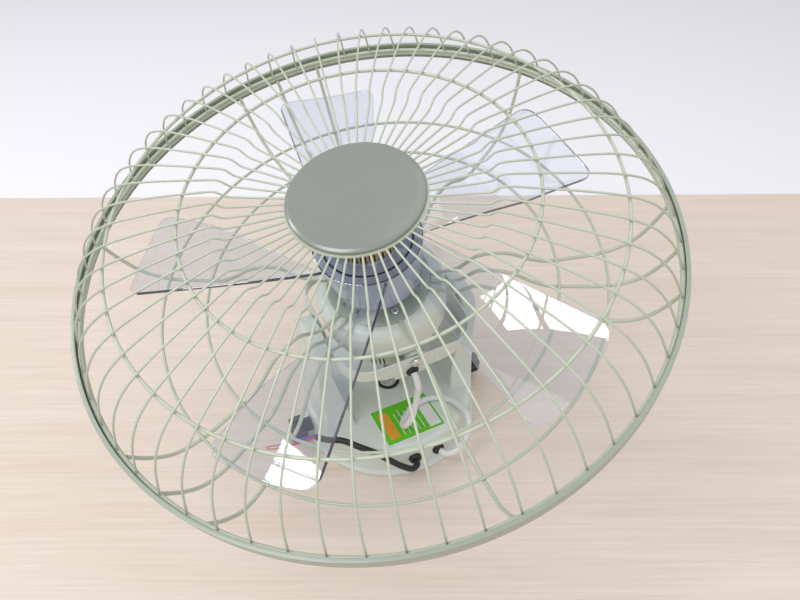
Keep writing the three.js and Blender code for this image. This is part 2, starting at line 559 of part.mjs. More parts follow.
let bladeSet = turned([
  [shaftBore, hubTop - collarHeight], [shaftBore + 7, hubTop - collarHeight], [shaftBore + 7, hubTop - hubWall],
  [hubTopRadius - hubWall - 0.3, hubTop - hubWall], [hubFootRadius - hubWall, hubFoot], [hubFootRadius, hubFoot],
  [hubTopRadius, hubTop],
  [nutRadius, hubTop], [nutRadius - 1, hubTop + 1.5], [shaftBore, hubTop + 1.5],
], 24);
for (let k = 0; k < bladeCount; k++) bladeSet = bladeSet.add(turnZ(blade(), bladePhase + (360 / bladeCount) * k));
head.add(piece("blade_set", bladeSet, "clear"));

// Knurled lock nut, blind at its front.
const knurl = new THREE.Shape();
for (let i = 0; i < 2 * nutKnurls; i++) {
  const a = (Math.PI * i) / nutKnurls, r = nutRadius - (i % 2 ? 1.3 : 0);
  if (i) knurl.lineTo(r * Math.cos(a), r * Math.sin(a));
  else knurl.moveTo(r * Math.cos(a), r * Math.sin(a));
}
knurl.closePath();
const nut = slab(knurl, "z", nutFoot, nutFoot + nutHeight)
  .intersect(turned([[0, nutFoot - 1], [nutRadius + 2, nutFoot - 1], [nutRadius + 2, nutFoot + nutHeight - 4],
    [nutRadius - 3, nutFoot + nutHeight], [0, nutFoot + nutHeight]], 24))
  .subtract(bar(shaftBore, nutFoot - 1, nutFoot + nutHeight - 4 + seatGap, 12));
head.add(piece("lock_nut", nut, "tan"));

// ---------- Rear guard ----------
const plateBack = coverFront + seatGap, plateFront = plateBack + rearPlate;
let rearDisc = turned([[shaftRadius + 3, plateBack], [rearPlateRadius, plateBack], [rearPlateRadius, plateFront - 1],
  [rearPlateRadius - 1, plateFront], [shaftRadius + 3, plateFront]], 30);
for (const a of screwAngles) {
  rearDisc = rearDisc.subtract(onCircle(bar(plateScrewHead + 0.8, plateBack + 1, plateFront + 1, 10), plateScrewCircle, a));
  rearDisc = rearDisc.subtract(onCircle(bar(1.9, plateBack - 1, plateFront + 1, 8), plateScrewCircle, a));
  for (const step of [48, 72]) {
    rearDisc = rearDisc.subtract(turnZ(block(30.5, -windowWidth / 2, plateBack - 1, 37.5, windowWidth / 2, plateFront + 1), a + step));
  }
}
head.add(piece("rear_plate", rearDisc, "greygreen"));
screwAngles.forEach((a, i) => {
  const screw = bar(plateScrewHead, plateBack + 1 + seatGap, plateFront + 0.6, 8).add(bar(1.6, coverFront - 5, plateFront, 8));
  head.add(piece("plate_screw_" + (i + 1), onCircle(screw, plateScrewCircle, a), "chrome"));
});

// A rear spoke leaves the plate, arches over the motor's shoulder, dips, and climbs the bowl to the rim.
const rearRimHeight = rimHeight - 2 * toFlat(rimWire, 4) - seatGap;
const rearProfile = [
  [rearPlateRadius + seatGap + 0.4, plateFront - 0.6], [67.8, 49.8], [77, 56.6], [85.7, 64.3], [100, 65.5], [114, 61.8],
  [131, 50], [145, 43.4], [166, 42.9], [188, 43.6], [203, 47.6], [217, 56.4], [229, 74.5], [rimRadius - 1.2, rearRimHeight],
];
function spoke(profile, wire, angle, sides) {
  return solid(rod(new Chain(profile.map(([r, z]) => polar(r, angle, z)), angle), wire, sides, profile.length - 1));
}
const spokeAngles = [];
for (let k = 0; k < 3; k++) {
  spokeAngles.push(rearPhase + 120 * k);
  for (const s of [-rearBundle, 0, rearBundle]) spokeAngles.push(rearPhase + 60.3 + 120 * k + s);
}
const rearWires = wasm.Manifold.union([
  hoop(rimRadius, rearRimHeight, rimWire, 45), ...spokeAngles.map((a) => spoke(rearProfile, rearWire, a, 4)),
]);
head.add(piece("rear_guard", rearWires, "wire"));
// Level at which a hoop of radius r seats on a wire's profile: on top of it (side 1) or under it (side -1).
function seatOn(profile, r, reach, side) {
  const i = profile.findIndex(([pr]) => pr > r);
  const [[r0, z0], [r1, z1]] = [profile[i - 1], profile[i]];
  const slope = (z1 - z0) / (r1 - r0);
  const half = toFlat(guardRing, 4);
  return z0 + slope * (r - r0) + side * ((reach + seatGap) * Math.hypot(1, slope) + half * (1 + Math.abs(slope)));
}
for (const [name, r] of [["rear_hoop_inner", rearRingInner], ["rear_hoop_outer", rearRingOuter]]) {
  head.add(piece(name, hoop(r, seatOn(rearProfile, r, toFlat(rearWire, 4), 1), guardRing, 32), "wire"));
}

// ---------- Front guard ----------
// Each front wire runs out flat, steps up at the kink, then follows the dome down to the rim.
const kinkEnd = kinkRadius + kinkRun, kinkLevel = frontLevel + 3.1;
const frontProfile = [
  [frontStart, frontLevel], [kinkRadius, kinkLevel], [kinkEnd, kinkLevel + kinkRise], [146.4, 163.4], [188, 156.3],
  [210, 146.8], [226.5, 128], [rimRadius - 0.6, rimHeight + 0.6],
];
const hubRingLow = frontLevel - 1, hubRingHigh = frontLevel + 0.9;
const hubRingInner = frontStart - hubRingWidth + 2;
const frontParts = [
  turned([[hubRingInner, hubRingLow], [frontStart + 1.5, hubRingLow], [frontStart + 1.5, hubRingHigh],
    [hubRingInner, hubRingHigh]], 30),
  hoop(rimRadius, rimHeight, rimWire, 45),
];
for (let k = 0; k < frontWires; k++) {
  frontParts.push(spoke(frontProfile, frontWire, frontWirePhase + (360 / frontWires) * k, 3));
}
head.add(piece("front_guard", wasm.Manifold.union(frontParts), "wire"));
for (const [name, r] of [["front_hoop_inner", frontRingB], ["front_hoop_outer", frontRingC]]) {
  head.add(piece(name, hoop(r, seatOn(frontProfile, r, toCorner(frontWire, 3), -1), guardRing, 32), "wire"));
}

// Badge, plain, with a spigot in the hub ring, and the clamp disc behind it.
const badgeBack = hubRingHigh + seatGap;
head.add(piece("badge", turned([
  [0, hubRingLow], [hubRingInner - seatGap, hubRingLow], [hubRingInner - seatGap, badgeBack], [badgeRadius - 1.5, badgeBack],
  [badgeRadius, badgeBack + 1.2], [badgeRadius - 0.6, badgeBack + badgeHeight - 1.4], [badgeRadius - 3, badgeBack + badgeHeight - 0.4],
  [0, badgeBack + badgeHeight],
], 32), "greygreen"));
head.add(piece("badge_clamp", turned([
  [0, hubRingLow - seatGap - 2], [hubRingInner + 2, hubRingLow - seatGap - 2], [hubRingInner + 3, hubRingLow - seatGap],
  [0, hubRingLow - seatGap],
], 24), "greygreen"));

// Rim band: a strip rolled into a channel that holds both rim wires, and its clip.
const bandInner = rimRadius + toFlat(rimWire, 4) + seatGap, bandMid = (rimHeight + rearRimHeight) / 2;
const bandLow = bandMid - bandHalf, bandHigh = bandMid + bandHalf;
head.add(piece("rim_band", turned([
  [bandInner - bandFlange, bandLow], [bandInner + bandWall, bandLow], [bandInner + bandWall, bandHigh],
  [bandInner - bandFlange, bandHigh], [bandInner, bandHigh - 1.4], [bandInner, bandLow + 1.4],
], 45), "greygreen"));
const clipAt = bandInner + bandWall + seatGap + 0.1;
head.add(piece("rim_clip", turnZ(block(clipAt, -6, bandMid - 5, clipAt + 1.6, 6, bandMid + 5), 27.5), "steel"));

export default fan;
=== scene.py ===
import bpy
import bmesh
import math
from mathutils import Matrix, Vector


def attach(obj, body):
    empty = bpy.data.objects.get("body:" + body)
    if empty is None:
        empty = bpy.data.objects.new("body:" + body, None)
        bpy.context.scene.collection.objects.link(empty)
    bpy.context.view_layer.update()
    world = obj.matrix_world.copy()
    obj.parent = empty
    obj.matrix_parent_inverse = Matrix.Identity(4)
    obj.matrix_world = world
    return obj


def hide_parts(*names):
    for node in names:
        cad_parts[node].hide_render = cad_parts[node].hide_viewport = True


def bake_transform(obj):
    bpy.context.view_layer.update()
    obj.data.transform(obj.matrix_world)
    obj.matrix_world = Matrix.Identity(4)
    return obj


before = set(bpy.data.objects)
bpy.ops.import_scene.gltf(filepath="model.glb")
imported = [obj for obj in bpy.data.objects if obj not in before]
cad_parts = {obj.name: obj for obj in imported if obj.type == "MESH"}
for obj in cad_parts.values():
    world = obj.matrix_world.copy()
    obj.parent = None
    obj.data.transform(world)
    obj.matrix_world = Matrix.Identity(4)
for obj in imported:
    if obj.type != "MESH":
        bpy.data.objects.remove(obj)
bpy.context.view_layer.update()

# ---------- Camera ----------
# A short lens above the rim of the cage and to its left, looking down on the canopy.
eye = bpy.data.cameras.new("camera")
eye.lens, eye.sensor_width, eye.clip_start, eye.clip_end = 29.75, 36, 0.01, 30
camera = bpy.data.objects.new("camera", eye)
bpy.context.scene.collection.objects.link(camera)
camera.matrix_world = Matrix((
    (0.89338, 0.29935, -0.33506, -0.19238),
    (-0.44929, 0.58867, -0.67202, -0.41495),
    (-0.00393, 0.75091, 0.66039, 0.55027),
    (0, 0, 0, 1),
))
bpy.context.scene.camera = camera
bpy.context.scene.view_settings.view_transform = "Standard"


# ---------- Supply cord: black mains lead with bared blue and red cores ----------
# A round PVC lead out of the left gland. It climbs the canopy's edge to the knob, where the
# sheath is cut back and the two cores end in twisted bare copper for the ceiling's connector.
class Tone:
    """A socket in a finish. Sums on it add Math nodes, and add() brings in any other node."""

    def __init__(self, tree, socket=None):
        self.tree, self.socket = tree, socket

    def add(self, kind, settings=None, inputs=None, out=0):
        node = self.tree.nodes.new("ShaderNode" + kind)
        for key, value in (settings or {}).items():
            if key == "stops":
                stops = node.color_ramp.elements
                for i, (place, shade) in enumerate(value):
                    stop = stops[i] if i < 2 else stops.new(place)
                    stop.position, stop.color = place, (*shade, 1)
            else:
                setattr(node, key, value)
        for key, value in (inputs or {}).items():
            if isinstance(value, Tone):
                self.tree.links.new(value.socket, node.inputs[key])
            else:
                node.inputs[key].default_value = value
        return Tone(self.tree, node.outputs[out])

    def blend(self, part, low, high):
        """The colour that is low where part is 0 and high where it is 1."""
        low, high = (c if isinstance(c, Tone) else (*c, 1) for c in (low, high))
        return self.add("Mix", {"data_type": "RGBA"}, {0: part, 6: low, 7: high}, out=2)

    def sum(self, operation, a, b=0.0, clamp=False):
        return self.add("Math", {"operation": operation, "use_clamp": clamp}, {0: a, 1: b})

    def __add__(self, other):
        return self.sum("ADD", self, other)

    def __sub__(self, other):
        return self.sum("SUBTRACT", self, other)

    def __rsub__(self, other):
        return self.sum("SUBTRACT", other, self)

    def __mul__(self, other):
        return self.sum("MULTIPLY", self, other)

    def __pow__(self, other):
        return self.sum("POWER", self, other)

    __radd__, __rmul__ = __add__, __mul__


def tint(red, green, blue):
    """A colour as read off a screen, 0 to 255, in the linear values that a shader takes."""
    parts = (c / 255 for c in (red, green, blue))
    return tuple(c / 12.92 if c <= 0.04 else ((c + 0.055) / 1.055) ** 2.4 for c in parts)


def finish(name, colour, gloss, metal=0.0, speck=0.05, patch=0.05, grain=900.0, pit=0.02, coat=0.0, wear=0.04):
    """A material from its colour, its roughness, and how far both wander over the piece. speck and
    patch are the fine and broad shifts of colour, pit the depth of the surface's texture in mm."""
    material = bpy.data.materials.new(name)
    material.use_nodes = True
    tree = material.node_tree
    shader = tree.nodes["Principled BSDF"]
    maker = Tone(tree)
    place = maker.add("TexCoord", out=3)
    fine = maker.add("TexNoise", {}, {"Vector": place, "Scale": grain, "Detail": 2.0, "Roughness": 0.6})
    broad = maker.add("TexNoise", {}, {"Vector": place, "Scale": 22.0, "Detail": 3.0, "Roughness": 0.55})
    shift = (fine - 0.5) * speck + (broad - 0.5) * patch
    dark = tuple(max(0.0, c * 0.5) for c in colour)
    light = tuple(min(1.0, c * 1.5) for c in colour)
    shade = maker.blend(shift * 2.0 + 0.5, dark, light)
    rough = gloss + (broad - 0.5) * wear * 4.0 + (fine - 0.5) * wear
    tree.links.new(shade.socket, shader.inputs["Base Color"])
    tree.links.new(rough.socket, shader.inputs["Roughness"])
    shader.inputs["Metallic"].default_value = metal
    if coat:
        shader.inputs["Coat Weight"].default_value = coat
        shader.inputs["Coat Roughness"].default_value = 0.12
    if pit:
        bump = maker.add("Bump", {}, {"Height": fine, "Distance": pit * 0.001, "Strength": 0.5})
        tree.links.new(bump.socket, shader.inputs["Normal"])
    return material


def curved(points, steps):
    """Even points on the smooth centripetal curve through these points, in whatever unit they are in."""
    p = [Vector(q) for q in points]
    p = [2 * p[0] - p[1]] + p + [2 * p[-1] - p[-2]]
    dense = []
    for i in range(1, len(p) - 2):
        a, b, c, d = p[i - 1:i + 3]
        t1 = max((b - a).length, 1e-6) ** 0.5
        t2 = t1 + max((c - b).length, 1e-6) ** 0.5
        t3 = t2 + max((d - c).length, 1e-6) ** 0.5
        for j in range(24):
            t = t1 + (t2 - t1) * j / 24
            ab, bc, cd = a.lerp(b, t / t1), b.lerp(c, (t - t1) / (t2 - t1)), c.lerp(d, (t - t2) / (t3 - t2))
            early, late = ab.lerp(bc, t / t2), bc.lerp(cd, (t - t1) / (t3 - t1))
            dense.append(early.lerp(late, (t - t1) / (t2 - t1)))
    dense.append(p[-2])
    along = [0.0]
    for a, b in zip(dense, dense[1:]):
        along.append(along[-1] + (b - a).length)
    even, k = [], 0
    for i in range(steps + 1):
        want = along[-1] * i / steps
        while k < len(along) - 2 and along[k + 1] < want:
            k += 1
        even.append(dense[k].lerp(dense[k + 1], (want - along[k]) / max(along[k + 1] - along[k], 1e-9)))
    return even


def lead(name, route, radius, steps, material, sides=4):
    """A cord or core as one open spline through the route, given in mm."""
    line = bpy.data.curves.new(name, "CURVE")
    line.dimensions, line.resolution_u = "3D", 6
    line.bevel_depth, line.bevel_resolution, line.use_fill_caps = radius * 0.001, sides, True
    spline = line.splines.new("BEZIER")
    points = [q * 0.001 for q in curved(route, steps)]
    spline.bezier_points.add(len(points) - 1)
    for knot, point in zip(spline.bezier_points, points):
        knot.co, knot.handle_left_type, knot.handle_right_type = point, "AUTO", "AUTO"
    line.materials.append(material)
    piece = bpy.data.objects.new(name, line)
    bpy.context.scene.collection.objects.link(piece)
    return piece


def run(points):
    return sum((Vector(b) - Vector(a)).length for a, b in zip(points, points[1:]))


black_sheath = finish("black_sheath", tint(34, 33, 32), 0.42, speck=0.1, patch=0.1, grain=500, pit=0.01)
blue_sheath = finish("blue_core", tint(28, 82, 190), 0.4, speck=0.06, pit=0.0)
red_sheath = finish("red_core", tint(196, 48, 40), 0.4, speck=0.06, pit=0.0)
bare_copper = finish("bare_copper", tint(206, 140, 100), 0.34, metal=0.9, speck=0.3, grain=2600, pit=0.05)

exit_height = 18.7
supply_route = [
    (-13.07, -88.54, exit_height), (-13.5, -91.5, exit_height), (-21, -96.5, 21.5), (-31.5, -92, 27.5),
    (-41, -84.5, 34), (-50, -77, 40), (-61, -67.5, 44), (-73, -53, 44), (-84, -44, 41), (-91.3, -34, 37.5),
]
supply = lead("supply_lead", supply_route, 3.0, 28, black_sheath)
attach(supply, "canopy")
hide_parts("supply_cord")
end_way = (Vector(supply_route[-1]) - Vector(supply_route[-2])).normalized()
end_side = Vector((end_way.y, -end_way.x, 0)).normalized()
for shade, side, sheath in (("blue", 1, blue_sheath), ("red", -1, red_sheath)):
    start = Vector(supply_route[-1]) + end_way * 0.3 + end_side * side * 1.45
    middle = Vector((-106.8, -28 + side * 1.7, 34))
    bare = Vector((-124.5, -22.8 + side * 1.6, 30 + side * 0.6))
    core = lead("lead_core_" + shade, [start, start + end_way * 3, middle, bare], 1.2, 14, sheath, 3)
    wire = lead("lead_copper_" + shade, [
        bare + (bare - middle).normalized() * 0.3,
        (-131, -20.6 + side * 1.5, 29.7 + side * 0.5), (-137.8, -18 + side * 1.1, 29.6),
    ], 0.65, 8, bare_copper, 2)
    for item, node, kind in ((core, "core_" + shade, "core_" + shade), (wire, "strands_" + shade, "copper")):
        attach(item, "canopy")
        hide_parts(node)
run(curved(supply_route, 28)) * 0.001


# ---------- Jumper lead: white, from the canopy's right gland to the orbit ring ----------
# It lies in a loop on the canopy's floor, then climbs to the ring with slack for the tilt.
# Made as a tube and turned into a plain mesh.
white_sheath = finish("white_sheath", tint(245, 242, 238), 0.4, speck=0.04, patch=0.06, grain=400, pit=0.01)
jumper_route = [
    (13.07, -88.54, exit_height), (13.5, -91.5, exit_height), (22, -97, 20.5), (34, -95, 27), (44, -88.5, 37),
    (47.5, -78.5, 42.6), (47, -66, 41.5), (42.5, -54, 41.5), (33, -45.5, 41.5), (20, -42.5, 41.5),
    (6, -45, 41.5), (-6, -52, 41.5), (-13.5, -60, 42.5), (-13.5, -66.5, 47.5), (-8, -68.5, 58.5),
    (-3.6, -67, 71.5), (-2, -67.5, 87.5),
    (-2.2, -69.5, 99.5), (-2.6, -64.24, 109.65), (-2.6, -61.31, 110.28),
]


def as_mesh(piece):
    """The piece with its curve and modifiers turned into a plain mesh."""
    graph = bpy.context.evaluated_depsgraph_get()
    mesh = bpy.data.meshes.new_from_object(piece.evaluated_get(graph), depsgraph=graph)
    name, place = piece.name, piece.matrix_world.copy()
    bpy.data.objects.remove(piece)
    made = bpy.data.objects.new(name, mesh)
    bpy.context.scene.collection.objects.link(made)
    made.matrix_world = place
    return made


jumper = as_mesh(lead("jumper_lead", jumper_route, 3.0, 38, white_sheath))
jumper.data.shade_smooth()
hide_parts("jumper_cord")
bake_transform(jumper)
jumper_line = curved(jumper_route, 76)
run(jumper_line) * 0.001
[tuple(p * 0.001) for p in jumper_line]

# ---------- Canopy housing ----------
# One moulding in pale mint plastic: a shallow drum with a lip, and two hollow ears that lean
# outward and hold the pivots. Inside corners are filleted by the mould.
mint = finish("mint_enamel", tint(210, 224, 208), 0.36, speck=0.03, patch=0.04, grain=700, pit=0.03, coat=0.25)


def link(name, mesh, material=None):
    """A mesh as a piece of the scene, smooth but for its sharp edges."""
    piece = bpy.data.objects.new(name, mesh)
    bpy.context.scene.collection.objects.link(piece)
    if material:
        mesh.materials.clear()
        mesh.materials.append(material)
    mesh.shade_smooth()
    mesh.set_sharp_from_angle(angle=math.radians(32))
    return piece


def surface(name, points, faces, material, place=None):
    mesh = bpy.data.meshes.new(name)
    mesh.from_pydata([tuple(Vector(p) * 0.001) for p in points], [], faces)
    if place:
        mesh.transform(place)
    work = bmesh.new()
    work.from_mesh(mesh)
    bmesh.ops.recalc_face_normals(work, faces=work.faces)
    work.to_mesh(mesh)
    work.free()
    return link(name, mesh, material)


def turns(around):
    """The angles of even steps round a circle."""
    return [2 * math.pi * k / around for k in range(around)]


def turned(name, profile, around, material, place=None, soft=0.0):
    """A closed outline of (radius, height) in mm, its corners rounded by soft, turned about +Z."""
    line = list(profile)
    if soft:
        line, n = [], len(profile)
        for i in range(n):
            a, b, c = (Vector(profile[(i + s) % n]) for s in (-1, 0, 1))
            if b.x < 0.01:
                line.append(tuple(b))
                continue
            cut = min(soft, (a - b).length * 0.4, (c - b).length * 0.4)
            e, f = b + (a - b).normalized() * cut, b + (c - b).normalized() * cut
            for t in (0, 0.33, 0.67, 1):
                line.append(tuple(e.lerp(b, t).lerp(b.lerp(f, t), t)))
    points, index, faces = [], [], []
    for r, z in line:
        if r < 0.01:
            points.append((0, 0, z))
            index.append([len(points) - 1] * around)
            continue
        index.append(list(range(len(points), len(points) + around)))
        points += [(r * math.cos(a), r * math.sin(a), z) for a in turns(around)]
    for i in range(len(line)):
        p, q = index[i], index[(i + 1) % len(line)]
        for k in range(around):
            j = (k + 1) % around
            face = []
            for corner in (p[k], p[j], q[j], q[k]):
                if corner not in face:
                    face.append(corner)
            if len(face) > 2:
                faces.append(face)
    return surface(name, points, faces, material, place)


def plate_of(name, outline, axis, low, high, material=None, place=None):
    """An outline in two axes carried along the third, in mm."""
    n = len(outline)
    points = []
    for level in (low, high):
        points += [{"x": (level, u, v), "y": (u, level, v), "z": (u, v, level)}[axis] for u, v in outline]
    faces = [list(range(n)), list(range(n, 2 * n))]
    faces += [[i, (i + 1) % n, n + (i + 1) % n, n + i] for i in range(n)]
    return surface(name, points, faces, material, place)


def carve(piece, tool, how):
    """Joins, cuts or keeps the common part of two solids, and uses the tool up."""
    step = piece.modifiers.new("carve", "BOOLEAN")
    step.object, step.operation, step.solver = tool, how, "EXACT"
    made = as_mesh(piece)
    bpy.data.objects.remove(tool)
    return made


def bounded(u, v):
    return [(u[0], v[0]), (u[1], v[0]), (u[1], v[1]), (u[0], v[1])]


def upright(x, y, z):
    return Matrix.Translation((x * 0.001, y * 0.001, z * 0.001))


def swung(angle):
    """Turned about +Z by an angle in degrees."""
    return Matrix.Rotation(math.radians(angle), 4, "Z")


def outward(angle, z=0.0):
    """+Z laid along the horizontal at an angle, at a height in mm."""
    return upright(0, 0, z) @ swung(angle) @ Matrix.Rotation(math.pi / 2, 4, "Y")


def dome(radius, centre, steps):
    """A half circle over a centre at this height, from its right end to its left."""
    ways = [math.pi * i / steps for i in range(steps + 1)]
    return [(radius * math.cos(a), centre + radius * math.sin(a)) for a in ways]


floor_top = 38
pivot_height = 137.3
drum = turned("drum", [
    (90, 0), (90, 2), (89, 3), (86, 4), (86, 33), (84.5, 36.5), (81, floor_top), (10, floor_top), (10, 36),
    (79, 36),
    (84, 31), (84, 0),
], 128, None)
flare = curved([(41, 23, 0), (39, 38, 0), (34.5, 48, 0), (31.5, 60, 0), (28.5, 82, 0), (29, 106, 0)], 20)
front = [(p.x, p.y) for p in flare] + dome(31, 118, 36) + [(-p.x, p.y) for p in reversed(flare)]
ears = []
for turn in (0, 180):
    ear = plate_of("ear", front, "x", 51, 83)
    ear = carve(ear, plate_of("lean", [
        (52, 23), (52, 38), (62, 82), (67, 104), (67, 150), (79, 150), (82, 142), (82, 23),
    ], "y", -42, 42), "INTERSECT")
    ear = carve(ear, turned("round", [(0, 20), (86, 20), (86, 151), (0, 151)], 128, None), "INTERSECT")
    pan = dome(27.8, 118, 28) + [(-24.5, 104), (24.5, 104)]
    ear = carve(ear, plate_of("pan", pan, "x", 63, 74), "DIFFERENCE")
    boss = turned("boss", [(0, 67), (9, 67), (9, 75), (0, 75)], 40, None, outward(0, pivot_height))
    ear = carve(ear, boss, "UNION")
    eye = turned("eye", [(0, 60), (4, 60), (4, 79.4), (0, 79.4)], 32, None, outward(0, pivot_height))
    ear = carve(ear, eye, "DIFFERENCE")
    ear = carve(ear, plate_of("window", bounded((10.5, 15.5), (121.3, 136.3)), "x", 60, 90), "DIFFERENCE")
    ear.data.transform(swung(turn))
    ears.append(ear)
for ear in ears:
    drum = carve(drum, ear, "UNION")
hollow = [(56.6, 22), (66.6, 82), (69.6, 100), (79.4, 100), (79.4, 22)]
for turn in (0, 180):
    drum = carve(drum, plate_of("hollow", hollow, "y", -25.9, 25.9, None, swung(turn)), "DIFFERENCE")
drum = carve(drum, turned("inside", [(0, -1), (84, -1), (84, 31), (0, 31)], 128, None), "DIFFERENCE")
drum = carve(drum, turned("bore", [(0, 18), (10, 18), (10, 43), (0, 43)], 64, None), "DIFFERENCE")
for angle in (-98.4, -81.6):
    bore = turned("bore", [(0, 80), (5.2, 80), (5.2, 91), (0, 91)], 32, None, outward(angle, exit_height))
    drum = carve(drum, bore, "DIFFERENCE")
melt = drum.modifiers.new("melt", "REMESH")
melt.mode, melt.voxel_size, melt.use_smooth_shade = "VOXEL", 0.0013, True
ease = drum.modifiers.new("ease", "SMOOTH")
ease.factor, ease.iterations = 0.5, 5
drum = as_mesh(drum)
thin = drum.modifiers.new("thin", "DECIMATE")
thin.ratio = 0.3
drum = as_mesh(drum)
drum.name = "canopy_moulding"
drum.data.materials.clear()
drum.data.materials.append(mint)
drum.data.shade_smooth()
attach(drum, "canopy")
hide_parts("canopy_housing")

# ---------- Socket bush ----------
# A black rubber ring pressed into the canopy's floor, with the pale nylon cup in it in which
# the crank's ball works.
rubber = finish("rubber", tint(34, 34, 33), 0.5, speck=0.1, patch=0.1, grain=900, pit=0.03)
nylon = finish("nylon", tint(226, 224, 208), 0.46, speck=0.05, patch=0.08, grain=600, pit=0.02)
bush = turned("socket_ring", [
    (8.6, 39.3), (8.6, 32), (9.7, 32), (9.7, 38.3), (12, 38.3), (11.5, 39.3),
], 64, rubber, None, 0.35)
cup = turned("socket_cup", [
    (0, 31.2), (8.4, 31.2), (8.4, 38.6), (7.2, 38.6), (5.6, 34.6), (3.0, 33), (0, 32.6),
], 64, nylon, None, 0.3)
for item in (bush, cup):
    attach(item, "canopy")
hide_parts("socket_bush")

# ---------- Ceiling plate ----------
# A strip of zinc-plated steel folded up at both ends, slotted for the ceiling's screws.
zinc = finish(
    "zinc_plate", tint(182, 186, 190), 0.34, metal=0.95, speck=0.12, patch=0.12, grain=1200, pit=0.01, wear=0.08,
)
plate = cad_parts["ceiling_plate"]
plate.data.materials.clear()
plate.data.materials.append(zinc)

# ---------- Knobs ----------
# Black moulded knobs with six soft lobes, on studs that clamp the canopy to its plate.
def stacked(levels, around):
    """The faces between rings of points that lie one on another."""
    return [[i * around + k, i * around + (k + 1) % around,
             (i + 1) * around + (k + 1) % around, (i + 1) * around + k]
            for i in range(levels - 1) for k in range(around)]


def capped(levels, around):
    """The faces that close the first and the last ring."""
    return [list(range(around)), list(range((levels - 1) * around, levels * around))]


black_moulding = finish("black_moulding", tint(30, 31, 32), 0.36, speck=0.12, patch=0.12, grain=900, pit=0.03)
knob_height, round_knob = 18, 96
for name, angle, node in (("knob_grip_right", 0, "knob_right"), ("knob_grip_left", 180, "knob_left")):
    rings = []
    for inset, level in (
        (6.2, 93.0), (1.4, 93.0), (0.5, 93.5), (0, 94.6), (0, 103.0), (0.4, 105.0), (1.4, 106.4), (3.0, 107.0),
        (5.4, 107.0), (5.9, 106.3), (11.0, 106.3),
    ):
        ring = []
        for a in turns(round_knob):
            r = max(0.3, 12 - 0.9 + 0.9 * math.cos(6 * a) * max(0.0, 1 - inset / 6) - inset)
            ring.append((r * math.cos(a), r * math.sin(a), level))
        rings.append(ring)
    points = [p for ring in rings for p in ring]
    faces = stacked(len(rings), round_knob) + capped(len(rings), round_knob)
    grip = surface(name, points, faces, black_moulding, outward(angle, knob_height))
    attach(grip, node)
    neck = turned(name + "_neck", [
        (0, 86.3), (7.2, 86.3), (7.2, 92), (8.4, 93.4), (0, 93.4),
    ], 40, black_moulding, outward(angle, knob_height), 0.5)
    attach(neck, node)
    stud = turned(name + "_stud", [
        (0, 75.6), (1.8, 75.6), (2.5, 76.3), (2.5, 87), (0, 87),
    ], 24, zinc, outward(angle, knob_height), 0.2)
    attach(stud, node)
    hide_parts(node)

# ---------- Cord glands ----------
# Black rubber grommets that snap into the wall of the canopy and into the orbit ring.
def gland(name, inner, outer, place):
    """A grommet for a wall that runs from inner to outer along the place's +Z."""
    return turned(name, [
        (2.95, outer + 3), (2.95, inner - 1.6), (5.4, inner - 1.6), (6.2, inner - 0.3), (4.4, inner - 0.3),
        (4.4, outer + 0.3), (6.2, outer + 0.3), (5.6, outer + 2.2), (4.4, outer + 3),
    ], 48, rubber, place, 0.4)


for name, angle, node in (("supply_grommet", -98.4, "gland_supply"), ("jumper_grommet", -81.6, "gland_jumper")):
    grommet = gland(name, 83.5, 86.2, outward(angle, exit_height))
    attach(grommet, "canopy")
    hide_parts(node)

# ---------- Sticker on the canopy's floor ----------
# A glossy paper sticker in plain blocks of green, orange and white, lying in front of the socket.
paper = {"green": (98, 192, 30), "orange": (252, 156, 52), "white": (246, 249, 243)}
for name, shade in paper.items():
    paper[name] = finish("sticker_" + name, tint(*shade), 0.3, speck=0.02, patch=0.04, pit=0.0)
blocks = [
    ("border", "white", (-36, 26.5), (-76, -30), 0.0), ("field", "green", (-34.6, 25.1), (-74.6, -31.4), 0.06),
    ("strip", "orange", (-30, -20), (-70, -37), 0.12), ("panel", "white", (11, 23), (-72, -40), 0.12),
]
for k in range(5):
    blocks.append(("rule_%d" % k, "white", (-15 + 5.2 * k, -14.2 + 5.2 * k), (-70, -42 + 3 * (k % 2)), 0.12))
for name, shade, across, deep, lift in blocks:
    low = floor_top + 0.03 + lift
    block = plate_of("sticker_" + name, bounded(across, deep), "z", low, low + 0.05, paper[shade])
    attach(block, "canopy")

# ---------- Orbit ring ----------
# A strap of painted steel bent into a rounded square. It turns about X in the ears, carries
# the motor on Y, and hangs a tab with a grommet for the jumper lead at its front.
ring_lean, head_lean = 12.07, -13.57
ring_place = upright(0, 0, pivot_height) @ Matrix.Rotation(math.radians(ring_lean), 4, "X")
head_place = ring_place @ Matrix.Rotation(math.radians(head_lean), 4, "Y")
to_front, to_rear = (Matrix.Rotation(side * math.pi / 2, 4, "X") for side in (1, -1))
strap_low = [(-70, -8), (-39.5, -8), (-27.5, -15), (27.5, -15), (41.5, -10), (70, -8)]
tab_low = [(-20.5, -15), (-18.6, -20.4), (-17.4, -21), (9.6, -21), (11.2, -20.4), (14.2, -15)]


def level(table, x):
    """The height that a table of (place, height) gives at x."""
    for (x0, z0), (x1, z1) in zip(table, table[1:]):
        if x0 <= x <= x1:
            return z0 + (z1 - z0) * (x - x0) / (x1 - x0)
    return table[0][1] if x < table[0][0] else table[-1][1]


